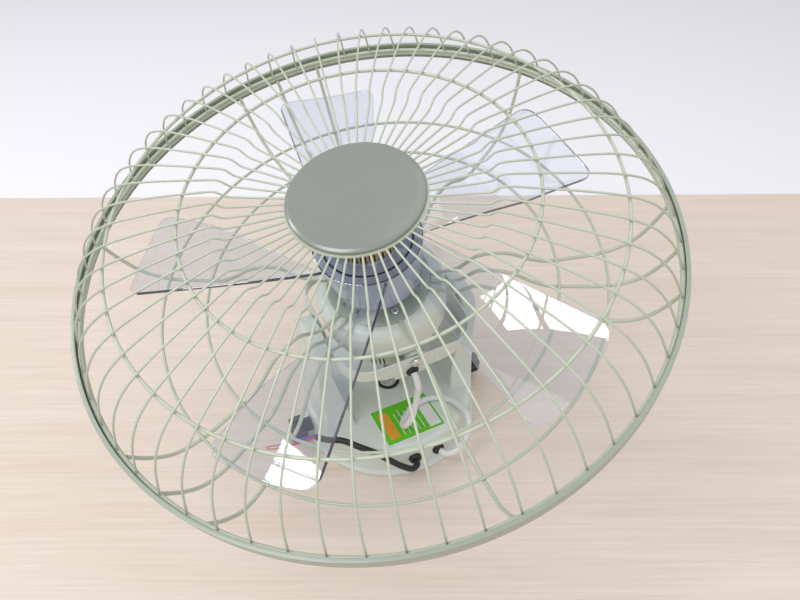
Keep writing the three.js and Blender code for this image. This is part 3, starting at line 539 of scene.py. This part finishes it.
def frame_line(half_x, half_y, corner):
    """Points round a rounded rectangle, with close ones where its lower edge turns."""
    def arc(cx, cy, start):
        ways = [math.radians(start + 9 * i) for i in range(11)]
        return [(cx + corner * math.cos(a), cy + corner * math.sin(a)) for a in ways]

    line = []
    stops = [-27.5, 27.5, -39.5, -20.5, -18.6, -17.4, 9.6, 11.2, 14.2] + [i * 3.0 for i in range(-12, 13)]
    flat = sorted(x for x in stops if abs(x) < half_x - corner)
    side = [i * 4.0 for i in range(-8, 9) if abs(i * 4.0) < half_y - corner]
    line += [(x, -half_y) for x in flat] + arc(half_x - corner, -half_y + corner, -90)
    line += [(half_x, y) for y in side] + arc(half_x - corner, half_y - corner, 0)
    line += [(x, half_y) for x in reversed(flat)] + arc(-half_x + corner, half_y - corner, 90)
    line += [(-half_x, y) for y in reversed(side)] + arc(-half_x + corner, -half_y + corner, 180)
    return line


# both lines run through the same stations, so that they join face to face
stations = list(zip(frame_line(65.5, 62.3, 28), frame_line(63.5, 60.3, 26)))
points, faces = [], []
for (xo, yo), (xi, yi) in stations:
    high = level([(-66, 6), (-41.5, 6.6), (41.5, 6.6), (66, 6)], xo)
    low = level(strap_low, xo)
    if yo < 0 and -20.5 < xo < 14.2:
        low = level(tab_low, xo)
    for across, z in (
        (0, low + 0.4), (0, high - 0.4), (0.25, high), (0.75, high),
        (1, high - 0.4), (1, low + 0.4), (0.75, low), (0.25, low),
    ):
        points.append((xo + (xi - xo) * across, yo + (yi - yo) * across, z))
for i in range(len(stations)):
    j = (i + 1) % len(stations)
    for k in range(8):
        faces.append([i * 8 + k, j * 8 + k, j * 8 + (k + 1) % 8, i * 8 + (k + 1) % 8])
strap = surface("orbit_strap", points, faces, mint, ring_place)
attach(strap, "orbit_ring")
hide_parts("orbit_ring")
rivet = turned("strap_rivet", [
    (0, 61.6), (2.8, 61.6), (2.8, 62.9), (1.9, 63.7), (0, 64),
], 32, mint, ring_place @ upright(21.5, 0, -4.8) @ to_front)
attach(rivet, "orbit_ring")
grommet = gland("ring_grommet", 60.3, 62.3, ring_place @ upright(-2.6, 0, -13.6) @ to_front)
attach(grommet, "orbit_ring")
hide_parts("gland_ring")

# ---------- Pivot bolts ----------
# Turned steel pins. Those on X run from the ring into the ears, those on Y have bright pan
# heads with a cross slot and end in the motor's lugs.
def cross_cut(piece, reach, half, low, high, place, turn):
    """The piece with a cross slot in its head: two cuts, at a turn and square to it."""
    for angle in (turn, turn + 90):
        arm = bounded((-reach, reach), (-half, half))
        cut = plate_of("cross", arm, "z", low, high, None, place @ swung(angle))
        piece = carve(piece, cut, "DIFFERENCE")
    return piece


chrome = finish(
    "bright_steel", tint(224, 226, 228), 0.16, metal=1.0, speck=0.06, patch=0.08, grain=1500, pit=0.0, wear=0.05,
)
for name, side in (("ear_bolt_right", 0), ("ear_bolt_left", 180)):
    pin = turned("pin_" + name, [
        (0, 63.6), (3.7, 63.6), (3.7, 65.8), (6.6, 65.8), (6.6, 66.7), (3.7, 66.7), (3.7, 79.1), (0, 79.1),
    ], 40, zinc, outward(side, pivot_height), 0.2)
    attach(pin, "orbit_ring")
    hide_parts(name)
for name, side in (("pivot_bolt_front", to_front), ("pivot_bolt_rear", to_rear)):
    place = ring_place @ side
    pin = turned("pin_" + name, [
        (0, 52.3), (3.7, 52.3), (3.7, 62.6), (5.6, 62.6), (5.6, 64.3), (4.9, 65.3), (3.2, 65.85), (0, 66.0),
    ], 40, chrome, place, 0.25)
    pin = cross_cut(pin, 3, 0.55, 64.6, 67, place, 20)
    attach(pin, "orbit_ring")
    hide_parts(name)

# ---------- Motor covers ----------
# Two drawn steel covers in mint enamel. The back one has upright vent slots in two groups with
# a long slot between them, tapers to the gearbox, and carries the two pivot lugs.
def dressed(name, piece, material):
    """The carved piece under its own name, in one material, smooth but for its sharp edges."""
    mesh = piece.data
    bpy.data.objects.remove(piece)
    return link(name, mesh, material)


front_cover = turned("motor_cover_front", [
    (5.3, 43), (5.3, 47), (50, 47), (55, 45), (57.5, 40.5), (57.5, 14), (55, 14), (55, 39.5), (48, 43.7),
    (13.3, 44.5), (13.3, 43),
], 128, mint, head_place, 1.6)
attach(front_cover, "head")
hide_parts("motor_front")
back_cover = turned("motor_cover_back", [
    (57.2, 13.7), (57.2, 11.7), (52, 11.1), (52, -12), (34, -34), (5.3, -34), (5.3, -31.5), (32.8, -31.5),
    (49.5, -11), (49.5, 13.7),
], 128, mint, None, 1.0)
for side in (to_front, to_rear):
    lug = turned("lug", [(0, 50.5), (8, 50.5), (8, 59.3), (0, 59.3)], 40, None, side, 0.6)
    back_cover = carve(back_cover, lug, "UNION")
cutters = []
for start in (0, 180):
    for angle in (229, 233.2, 237.4, 241.6, 294, 300, 306, 312, 318):
        vent = bounded((-0.85, 0.85), (-11.2, 0.6))
        cutters.append(plate_of("vent", vent, "x", 46, 55, None, swung(angle + start)))
for angle in range(256, 277, 3):
    cutters.append(plate_of("vent", bounded((-1.6, 1.6), (-4.6, 0.2)), "x", 46, 55, None, swung(angle)))
for cutter in cutters[1:]:
    cutters[0] = carve(cutters[0], cutter, "UNION")
back_cover = carve(back_cover, cutters[0], "DIFFERENCE")
back_cover.data.transform(head_place)
back_cover = dressed("motor_cover_rear", back_cover, mint)
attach(back_cover, "head")
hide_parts("motor_back")

# ---------- Stator ----------
# Varnished copper winding on its core, seen only through the vents.
winding = finish("varnished_winding", tint(66, 44, 32), 0.4, metal=0.5, speck=0.4, patch=0.2, grain=420, pit=0.3)
coil_points, coil_faces = [], []
coil_line = [(54.4, 15), (54.4, 38), (52.5, 38.5), (33, 38.5), (31, 37), (31, 16), (33, 14.5), (52.5, 14.5)]
round_coil, n = 144, len(coil_line)
for k, a in enumerate(turns(round_coil)):
    dip, after = 0.8 * max(0.0, math.cos(24 * a)), (k + 1) % round_coil
    for r, z in coil_line:
        r += -dip if r > 50 else dip
        coil_points.append((r * math.cos(a), r * math.sin(a), z))
    coil_faces += [[k * n + i, after * n + i, after * n + (i + 1) % n, k * n + (i + 1) % n] for i in range(n)]
coil = surface("motor_winding", coil_points, coil_faces, winding, head_place)
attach(coil, "head")
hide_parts("stator")

# ---------- Gearbox ----------
# A cast drum in grey-green enamel under the motor, ribbed round its side, that drives the crank.
greygreen = finish(
    "greygreen_enamel", tint(152, 161, 150), 0.34, speck=0.03, patch=0.05, grain=700, pit=0.03, coat=0.2,
)
gear_case = turned("gear_case", [
    (0, -44.3), (5.3, -44.3), (5.3, -34.3), (26, -34.3), (26, -40), (25.2, -40.6), (25.2, -45), (26, -45.6),
    (26, -52), (25.2, -52.6), (25.2, -57), (26, -57.6), (26, -70.3), (22, -75.3), (5.3, -75.3), (5.3, -63.3),
    (0, -63.3),
], 96, greygreen, head_place, 0.5)
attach(gear_case, "head")
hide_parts("gearbox")

# ---------- Crank ----------
# A forged steel arm on the gearbox's stub, with a ball-ended pin that reaches into the socket.
crank_place, crank_throw = head_place @ swung(222.4), 28.5
boss = turned("crank_boss", [
    (0, -81.6), (8.5, -81.6), (8.5, -75.6), (5, -75.6), (5, -63.6), (0, -63.6),
], 40, zinc, crank_place, 0.5)
ball_radius, ball_middle = 5.5, -87.3
pin_line = [(0, -92.8), (1.7, -92.5)]
for angle in range(25, 150, 8):
    a = math.radians(angle)
    pin_line.append((ball_radius * math.sin(a), ball_middle - ball_radius * math.cos(a)))
pin_line += [(3, -82.2), (3, -76.7), (0, -76.7)]
crank_pin = turned("crank_pin", pin_line, 40, chrome, crank_place @ upright(crank_throw, 0, 0))
arm = [(0, -5.5), (crank_throw, -4.5)]
for i in range(1, 12):
    arm.append((crank_throw + 4.5 * math.sin(math.pi * i / 12), -4.5 * math.cos(math.pi * i / 12)))
arm += [(crank_throw, 4.5), (0, 5.5)]
crank_arm = plate_of("crank_arm", arm, "z", -79.6, -75.6, zinc, crank_place)
bevel = crank_arm.modifiers.new("edge", "BEVEL")
bevel.width, bevel.segments, bevel.limit_method = 0.0006, 2, "ANGLE"
crank_parts = [boss, crank_pin, as_mesh(crank_arm)]
for item in crank_parts:
    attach(item, "crank")
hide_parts("crank")

# ---------- Rotor shaft and core ----------
# A ground steel shaft with a laminated core inside the winding.
shaft = turned("rotor_shaft", [
    (0, -43.9), (4.5, -43.9), (5, -43.2), (5, 122.6), (4.3, 123.8), (0, 123.8),
], 40, chrome, head_place)
core = turned("rotor_laminations", [
    (30.4, 14.5), (30.4, 38.5), (5.3, 38.5), (5.3, 14.5),
], 64, zinc, head_place, 0.5)
for item, node in ((shaft, "shaft"), (core, "rotor_core")):
    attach(item, "rotor")
    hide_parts(node)

# ---------- Blade set ----------
# Five blades and their hub, one clear bluish moulding. Each blade sweeps from a steep root to
# a flat, wide tip with rounded corners. Its edges and the hub's rings show the deep tint, and on
# the blades' edges that tint is partly painted shade, deeper on some blades than on others.
def clear_moulding(name, through, pale, body, deep, edge_name):
    """Clear tinted plastic: what is behind it shows through in a tint, the pale haze of the moulding
    covers body of it, its gloss grows towards a grazing look, and the deep tint shows where the
    named attribute is 1."""
    material = bpy.data.materials.new(name)
    material.use_nodes = True
    tree = material.node_tree
    maker = Tone(tree)
    shader = tree.nodes["Principled BSDF"]
    place = maker.add("TexCoord", out=3)
    haze = maker.add("TexNoise", {}, {"Vector": place, "Scale": 26.0, "Detail": 2.0})
    edge = maker.add("Attribute", {"attribute_name": edge_name}, out=2)
    cloud = maker.blend(haze, pale, [min(1, c * 1.15) for c in pale])
    shade = maker.blend(edge * 1.6, cloud, deep)
    tree.links.new(shade.socket, shader.inputs["Base Color"])
    shader.inputs["Roughness"].default_value = 0.08
    shader.inputs["Coat Weight"].default_value = 0.4
    shader.inputs["Coat Roughness"].default_value = 0.03
    see = maker.add("BsdfTransparent", {}, {"Color": (*through, 1)})
    cover = maker.sum("ADD", edge * 0.92, body, True)
    filled = maker.add("MixShader", {}, {0: cover, 1: see, 2: Tone(tree, shader.outputs[0])})
    gloss = maker.add("BsdfGlossy", {}, {"Color": (1, 1, 1, 1), "Roughness": 0.02})
    glance = maker.add("LayerWeight", {}, {"Blend": 0.5}, out=1)
    both = maker.add("MixShader", {}, {0: glance ** 4.0 * 0.55 + 0.055, 1: filled, 2: gloss})
    tree.links.new(both.socket, tree.nodes["Material Output"].inputs["Surface"])
    return material


clear_blue = clear_moulding(
    "clear_blue", (0.93, 0.945, 0.972), tint(196, 200, 226), 0.03, tint(14, 18, 52), "deep",
)
hub_blue = clear_moulding("hub_blue", (0.9, 0.92, 0.98), tint(206, 214, 248), 0.3, tint(20, 26, 72), "deep")


def mark_edges(piece, values):
    """Writes down how deep the tint is at each of the piece's points."""
    layer = piece.data.attributes.new("deep", "FLOAT", "POINT")
    layer.data.foreach_set("value", values)


blade_root, blade_tip, blade_thickness = 40.1, 199, 2.2


def blade_point(u, w):
    """A point in the middle of a blade, u from its trailing to its leading edge, w from root to tip."""
    t = max(0.0, (abs(2 * u - 1) - 0.76) / 0.24)
    tip = blade_tip - 12 * (1 - math.sqrt(max(0.0, 1 - t * t)))
    r = blade_root + (tip - blade_root) * w
    far = blade_tip / r
    lead_by, trail_by = 8.2 * (far - 1), 7.4 * max(0.0, far - 1.45)
    rise = (1 - w) ** 2
    high, low = 101 + 4 * rise, 88 - 21 * rise
    a = math.radians(-13.5 + trail_by + (27 + lead_by - trail_by) * u)
    sag = 24 * u * (1 - u) * (0.4 + 0.6 * w)
    return Vector((r * math.cos(a), r * math.sin(a), low + (high - low) * u - sag))


# rows close up towards the edges, for their rounding
us = [0, 0.004, 0.012, 0.025, 0.045, 0.07, 0.1] + [0.1 + 0.8 * i / 20 for i in range(1, 20)]
us += [0.9, 0.93, 0.955, 0.973, 0.984, 0.993, 1]
ws = [i / 30 for i in range(29)] + [0.965, 0.98, 0.99, 0.996, 1]
# how deep the tint is in the leading and the trailing edge of each blade, partly the plastic's deeper
# tint at its edges and partly painted shade, which differs from blade to blade
edge_tint_and_shade = [(1.0, 0.25), (0.25, 0.12), (0.45, 0.9), (0.7, 0.2), (1.0, 0.25)]
for number, (ahead, behind) in enumerate(edge_tint_and_shade):
    points, deep, faces = [], [], []
    for side in (1, -1):
        for u in us:
            for w in ws:
                du = blade_point(min(1, u + 0.01), w) - blade_point(max(0, u - 0.01), w)
                dw = blade_point(u, min(1, w + 0.01)) - blade_point(u, max(0, w - 0.01))
                normal = dw.cross(du).normalized()
                to_edge = min(u * 90, (1 - u) * 90, (1 - w) * 155)
                half = blade_thickness / 2 * min(1.0, 0.6 + to_edge / 1.6)
                points.append(blade_point(u, w) + normal * side * half)
                deep.append(ahead if (1 - u) * 90 < 1.2 else behind if to_edge < 0.6 else 0.0)
    n, m = len(us), len(ws)

    def at(side, i, j):
        return side * n * m + i * m + j

    for i in range(n - 1):
        for j in range(m - 1):
            faces += [[at(0, i, j), at(0, i, j + 1), at(0, i + 1, j + 1), at(0, i + 1, j)],
                      [at(1, i, j), at(1, i + 1, j), at(1, i + 1, j + 1), at(1, i, j + 1)]]
        faces += [[at(0, i, 0), at(0, i + 1, 0), at(1, i + 1, 0), at(1, i, 0)],
                  [at(0, i, m - 1), at(1, i, m - 1), at(1, i + 1, m - 1), at(0, i + 1, m - 1)]]
    for j in range(m - 1):
        faces += [[at(0, 0, j), at(1, 0, j), at(1, 0, j + 1), at(0, 0, j + 1)],
                  [at(0, n - 1, j), at(0, n - 1, j + 1), at(1, n - 1, j + 1), at(1, n - 1, j)]]
    place = head_place @ swung(221.8 + 72 * number)
    vane = surface("blade_%d" % (number + 1), points, faces, clear_blue, place)
    mark_edges(vane, deep)
    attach(vane, "rotor")
hub_line = [
    (5.3, 98), (12.3, 98), (12.3, 106.7), (42.4, 106.7), (37.2, 62), (39.5, 62), (39.62, 63.2), (44.62, 107.8),
    (44.9, 109), (44.2, 109.3), (43.6, 109), (38.2, 109), (37.7, 109.9), (36.4, 109.9), (35.9, 109), (27, 109),
    (26, 110.5), (5.3, 110.5),
]
hub = turned("blade_hub", hub_line, 128, hub_blue, head_place)
inside_out = head_place.inverted()


def ring_tone(point):
    """How deep the tint is at a point of the hub: full in the rolled rings, faint elsewhere."""
    q = inside_out @ point
    r, z = q.xy.length * 1000, q.z * 1000
    if (r > 44.1 and z > 108.6) or (36.2 < r < 37.9 and z > 109.6) or (r > 38.5 and z < 62.5):
        return 1.0
    return 0.1


mark_edges(hub, [ring_tone(v.co) for v in hub.data.vertices])
for number in range(10):
    rib = plate_of("hub_rib_%d" % number, [
        (12.3, 98.5), (41.3, 98.5), (41.9, 106.4), (12.3, 106.4),
    ], "y", -0.6, 0.6, hub_blue, head_place @ swung(36 * number + 5))
    mark_edges(rib, [0.55] * len(rib.data.vertices))
    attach(rib, "rotor")
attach(hub, "rotor")
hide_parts("blade_set")

# ---------- Lock nut ----------
# A tan moulded nut with a knurled side that clamps the hub to the shaft.
tan = finish("tan_moulding", tint(170, 146, 112), 0.5, speck=0.05, patch=0.06, grain=700, pit=0.03)
# a darker tan for the knurl's groove faces: painted shade in the grooves
groove_shade = finish("nut_groove_shade", tint(74, 56, 36), 0.6, speck=0.05, pit=0.0)
nut_line = [
    (-1.0, 110.9, 1), (0, 111.4, 1), (0, 123.3, 1), (-3, 127.2, 0.4), (-3.8, 127.8, 0), (-8, 127.8, 0),
    (-10, 126.6, 0), (-26.9, 126.6, 0),
]
# forty-eight ribs, each of ten steps, of which the last three lie in the groove
groove, round_nut = (0, 0, 0, 0, 0, 0, 0, 1, 1, 1), 480
nut_points = []
for inset, z, knurl in nut_line:
    for k, a in enumerate(turns(round_nut)):
        r = max(0.1, 27 + inset - 1.5 * knurl * groove[k % 10])
        nut_points.append((r * math.cos(a), r * math.sin(a), z))
nut_faces = stacked(len(nut_line), round_nut) + capped(len(nut_line), round_nut)
nut = surface("knurled_nut", nut_points, nut_faces, tan, head_place)
# the groove faces take the darker tan, painted shade on top of the grooves' own shadow
nut.data.materials.append(groove_shade)
for face in nut.data.polygons:
    if face.index < 3 * round_nut and face.index % 10 >= 6:
        face.material_index = 1
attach(nut, "rotor")
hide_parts("lock_nut")

# ---------- Rear plate and its screws ----------
# A pressed disc screwed to the motor's face by three bright screws. The rear spokes start at it.
disc = turned("spoke_plate", [
    (8, 47.3), (46, 47.3), (46, 48.7), (45, 49.7), (8, 49.7),
], 96, greygreen, None, 0.4)
screw_angles, screw_circle = (268, 28, 148), 35.7
for start in screw_angles:
    for step in (48, 72):
        hole = plate_of("hole", bounded((30.5, 37.5), (-3.5, 3.5)), "z", 46, 51, None, swung(start + step))
        disc = carve(disc, hole, "DIFFERENCE")
    seat = turned("seat", [
        (0, 48.6), (4.2, 48.6), (4.2, 51), (0, 51),
    ], 32, None, swung(start) @ upright(screw_circle, 0, 0))
    disc = carve(disc, seat, "DIFFERENCE")
disc.data.transform(head_place)
disc = dressed("spoke_plate_disc", disc, greygreen)
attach(disc, "head")
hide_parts("rear_plate")
for number, angle in enumerate(screw_angles, 1):
    place = head_place @ swung(angle) @ upright(screw_circle, 0, 0)
    screw = turned("screw_head_%d" % number, [
        (0, 47.5), (1.6, 47.5), (1.6, 48.7), (3.4, 48.7), (3.4, 49.5), (2.2, 50.2), (0, 50.35),
    ], 32, chrome, place, 0.15)
    screw = cross_cut(screw, 2.1, 0.4, 49.5, 51, place, 15)
    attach(screw, "head")
    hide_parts("plate_screw_%d" % number)

# ---------- Rear guard ----------
# Twelve bent spokes of cream-green dipped wire, welded to the rear rim wire, with two hoops.
wire_paint = finish("dipped_wire", tint(188, 195, 176), 0.3, speck=0.03, patch=0.06, grain=500, pit=0.02, coat=0.3)


def wires(name, lines, radius, closed=False, sides=2):
    """Round wires, each through its own points in mm in the head's frame, as one mesh."""
    bundle = bpy.data.curves.new(name, "CURVE")
    bundle.dimensions, bundle.bevel_depth, bundle.bevel_resolution = "3D", radius * 0.001, sides
    bundle.use_fill_caps = True
    for line in lines:
        spline = bundle.splines.new("POLY")
        spline.points.add(len(line) - 1)
        for knot, point in zip(spline.points, line):
            knot.co = (*(Vector(point) * 0.001), 1)
        spline.use_cyclic_u = closed
        spline.use_smooth = True
    bundle.materials.append(wire_paint)
    piece = bpy.data.objects.new(name, bundle)
    bpy.context.scene.collection.objects.link(piece)
    bpy.context.view_layer.update()
    made = as_mesh(piece)
    made.data.transform(head_place)
    made.data.shade_smooth()
    return made


def hoop(radius, height, around=180):
    return [(radius * math.cos(a), radius * math.sin(a), height) for a in turns(around)]


def spokes(profile, angles, steps):
    """The same (radius, height) line in each of these directions."""
    line = curved([(r, 0, z) for r, z in profile], steps)
    ways = [math.radians(angle) for angle in angles]
    return [[(p.x * math.cos(a), p.x * math.sin(a), p.z) for p in line] for a in ways]


rear_rim, front_rim, rim_radius = 96.88, 100.2, 238.6
spoke_wire, rim_wire, hoop_wire, dome_wire = 1.6, 1.8, 1.3, 0.86
rear_line = [
    (46.4, 48.9), (67.8, 49.8), (77, 56.6), (85.7, 64.3), (100, 65.5), (114, 61.8), (131, 50), (145, 43.4),
    (166, 42.9), (188, 43.6), (203, 47.6), (217, 56.4), (229, 74.5), (237.4, 95.6),
]
# three spokes alone, and between them three bundles of three
rear_angles = [147.9 + 120 * k for k in range(3)]
rear_angles += [208.2 + 120 * k + aside for k in range(3) for aside in (-10, 0, 10)]
rear = wires("rear_spokes", spokes(rear_line, rear_angles, 84), spoke_wire, sides=3)
rear_rim_wire = wires("rear_rim_wire", [hoop(rim_radius, rear_rim)], rim_wire, True, 3)
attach(rear, "head")
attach(rear_rim_wire, "head")
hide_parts("rear_guard")
for name, radius, height, node in (
    ("rear_ring_inner", 153.7, 46.4, "rear_hoop_inner"),
    ("rear_ring_outer", 193.3, 47.9, "rear_hoop_outer"),
):
    ring = wires(name, [hoop(radius, height)], hoop_wire, True)
    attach(ring, "head")
    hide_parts(node)

# ---------- Front guard ----------
# Sixty bright dipped wires from the hub ring out to the rim. Each runs flat, steps up at a kink,
# then bends over the dome, with two hoops welded under them.
front_line = [
    (52.4, 158.4), (75, 159.9), (93, 161.1), (98.5, 161.8), (105.2, 167.2), (110, 167.5), (128, 165.6),
    (146.4, 163.4), (168, 160.3), (188, 156.3), (200, 152.2), (210, 146.8), (219, 138.4), (226.5, 128),
    (233, 114.5), (238.1, 101.6),
]
front_angles = [4.87 + 6 * k for k in range(60)]
dome_wires = wires("dome_wires", spokes(front_line, front_angles, 60), dome_wire)
front_rim_wire = wires("front_rim_wire", [hoop(rim_radius, front_rim)], rim_wire, True, 3)
hub_ring = turned("hub_ring", [
    (44.4, 157.4), (53.9, 157.4), (53.9, 159.3), (44.4, 159.3),
], 96, wire_paint, head_place, 0.4)
for item in (dome_wires, front_rim_wire, hub_ring):
    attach(item, "head")
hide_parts("front_guard")
for name, radius, height, node in (
    ("front_ring_inner", 133.5, 162.2, "front_hoop_inner"),
    ("front_ring_outer", 193.5, 151.6, "front_hoop_outer"),
):
    ring = wires(name, [hoop(radius, height)], hoop_wire, True)
    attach(ring, "head")
    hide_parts(node)

# ---------- Badge ----------
# A plain grey-green cap over the wires' ends, slightly domed, with a rolled edge, clamped by a
# disc behind the hub ring.
badge_paint = finish("badge_enamel", tint(133, 137, 129), 0.28, speck=0.03, patch=0.08, grain=500, pit=0.01, coat=0.5)
badge = turned("badge_cap", [
    (0, 157.4), (44.1, 157.4), (44.1, 159.6), (51.3, 159.6), (52.8, 160.8), (52.2, 162.0), (49.8, 163.0),
    (46, 163.3), (30, 163.38), (0, 163.4),
], 128, badge_paint, head_place, 0.5)
clamp = turned("badge_washer", [
    (0, 155.1), (46.4, 155.1), (47.4, 157.1), (0, 157.1),
], 96, greygreen, head_place, 0.4)
for item, node in ((badge, "badge"), (clamp, "badge_clamp")):
    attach(item, "head")
    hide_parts(node)

# ---------- Rim band and clip ----------
# A strip rolled into a channel that holds the two rim wires together, closed by a small clip.
band_mid = (rear_rim + front_rim) / 2
band_line = [
    (239.3, band_mid - 7.2), (242.7, band_mid - 7.2), (242.7, band_mid + 7.2), (239.3, band_mid + 7.2),
    (240.7, band_mid + 5.8), (240.7, band_mid - 5.8),
]
band_paint = finish("band_enamel", tint(153, 162, 146), 0.38, speck=0.04, patch=0.06, grain=500, pit=0.03, coat=0.2)
band = turned("rim_strip", band_line, 240, band_paint, head_place, 0.5)
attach(band, "head")
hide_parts("rim_band")
clip_line = bounded((-6, 6), (band_mid - 5, band_mid + 5))
clip = plate_of("band_clip", clip_line, "x", 243.1, 244.7, zinc, head_place @ swung(27.5))
edge = clip.modifiers.new("edge", "BEVEL")
edge.width, edge.segments = 0.0005, 2
clip = as_mesh(clip)
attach(clip, "head")
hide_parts("rim_clip")

# ---------- Table, background and light ----------
# A pale table top with a faint grain up to its far edge, white beyond, under a broad soft
# ceiling light, the room in front and two bright windows to the left.
table = bpy.data.materials.new("table_top")
table.use_nodes = True
tree = table.node_tree
maker = Tone(tree)
place = maker.add("TexCoord", out=3)
east = maker.add("SeparateXYZ", {}, {"Vector": place})
north = Tone(tree, east.socket.node.outputs[1])
# the grain and the far edge run square to this way
way_x, way_y, far_edge = 0.4462, 0.8949, 0.4102
reach, along = east * way_x + north * way_y, east * way_y - north * way_x
laid = maker.add("CombineXYZ", {}, {0: along * 7.0, 1: reach * 330.0})
streak = maker.add("TexNoise", {}, {"Vector": laid, "Scale": 1.0, "Detail": 4.0, "Roughness": 0.6})
laid = maker.add("CombineXYZ", {}, {0: along * 2.0, 1: reach * 34.0, 2: 3.0})
band_of_grain = maker.add("TexNoise", {}, {"Vector": laid, "Scale": 1.0, "Detail": 3.0, "Roughness": 0.5})
mix = (streak - 0.5) * 1.5 + (band_of_grain - 0.5) * 0.9 + 0.5
wood = maker.blend(mix, tint(216, 197, 181), tint(233, 218, 206))
beyond = maker.sum("GREATER_THAN", reach, far_edge)
shade = maker.blend(beyond, wood, tint(244, 241, 245))
tree.links.new(shade.socket, tree.nodes["Principled BSDF"].inputs["Base Color"])
tree.nodes["Principled BSDF"].inputs["Roughness"].default_value = 0.6
floor = plate_of("table", bounded((-3000, 3000), (-3000, 3000)), "z", -20, 0, table)

world = bpy.data.worlds.new("room")
bpy.context.scene.world = world
world.use_nodes = True
tree = world.node_tree
maker = Tone(tree)
seen = maker.add("LightPath", out=0)
room = tree.nodes["Background"]
room.inputs["Color"].default_value = (*tint(243, 246, 250), 1)
room.inputs["Strength"].default_value = 0.64
wall = maker.add("Background", {}, {"Color": (*tint(236, 234, 239), 1), "Strength": 1.0})
both = maker.add("MixShader", {}, {0: seen, 1: Tone(tree, room.outputs[0]), 2: wall})
tree.links.new(both.socket, tree.nodes["World Output"].inputs["Surface"])


def softbox(name, size, power, at, towards, colour):
    lamp = bpy.data.lights.new(name, "AREA")
    lamp.shape, lamp.size, lamp.size_y, lamp.energy, lamp.color = "RECTANGLE", size[0], size[1], power, colour
    piece = bpy.data.objects.new(name, lamp)
    bpy.context.scene.collection.objects.link(piece)
    piece.location = at
    piece.rotation_euler = (Vector(towards) - Vector(at)).to_track_quat("-Z", "Y").to_euler()


softbox("ceiling_light", (1.6, 1.6), 6.5, (0.7, 0.1, 2.0), (0, 0, 0.1), (1, 0.985, 0.96))
softbox("room_light", (1.6, 1.2), 7.0, (-0.5, -1.7, 1.3), (0, 0, 0.1), (1, 0.99, 0.97))
softbox("window_left", (0.86, 0.9), 19.0, (-1.26, -0.265, 2.04), (0.084, -0.124, 0.18), (0.97, 0.985, 1))
softbox("window_right", (0.34, 0.72), 8.5, (-1.445, 1.086, 1.616), (-0.12, -0.15, 0.2), (0.97, 0.985, 1))
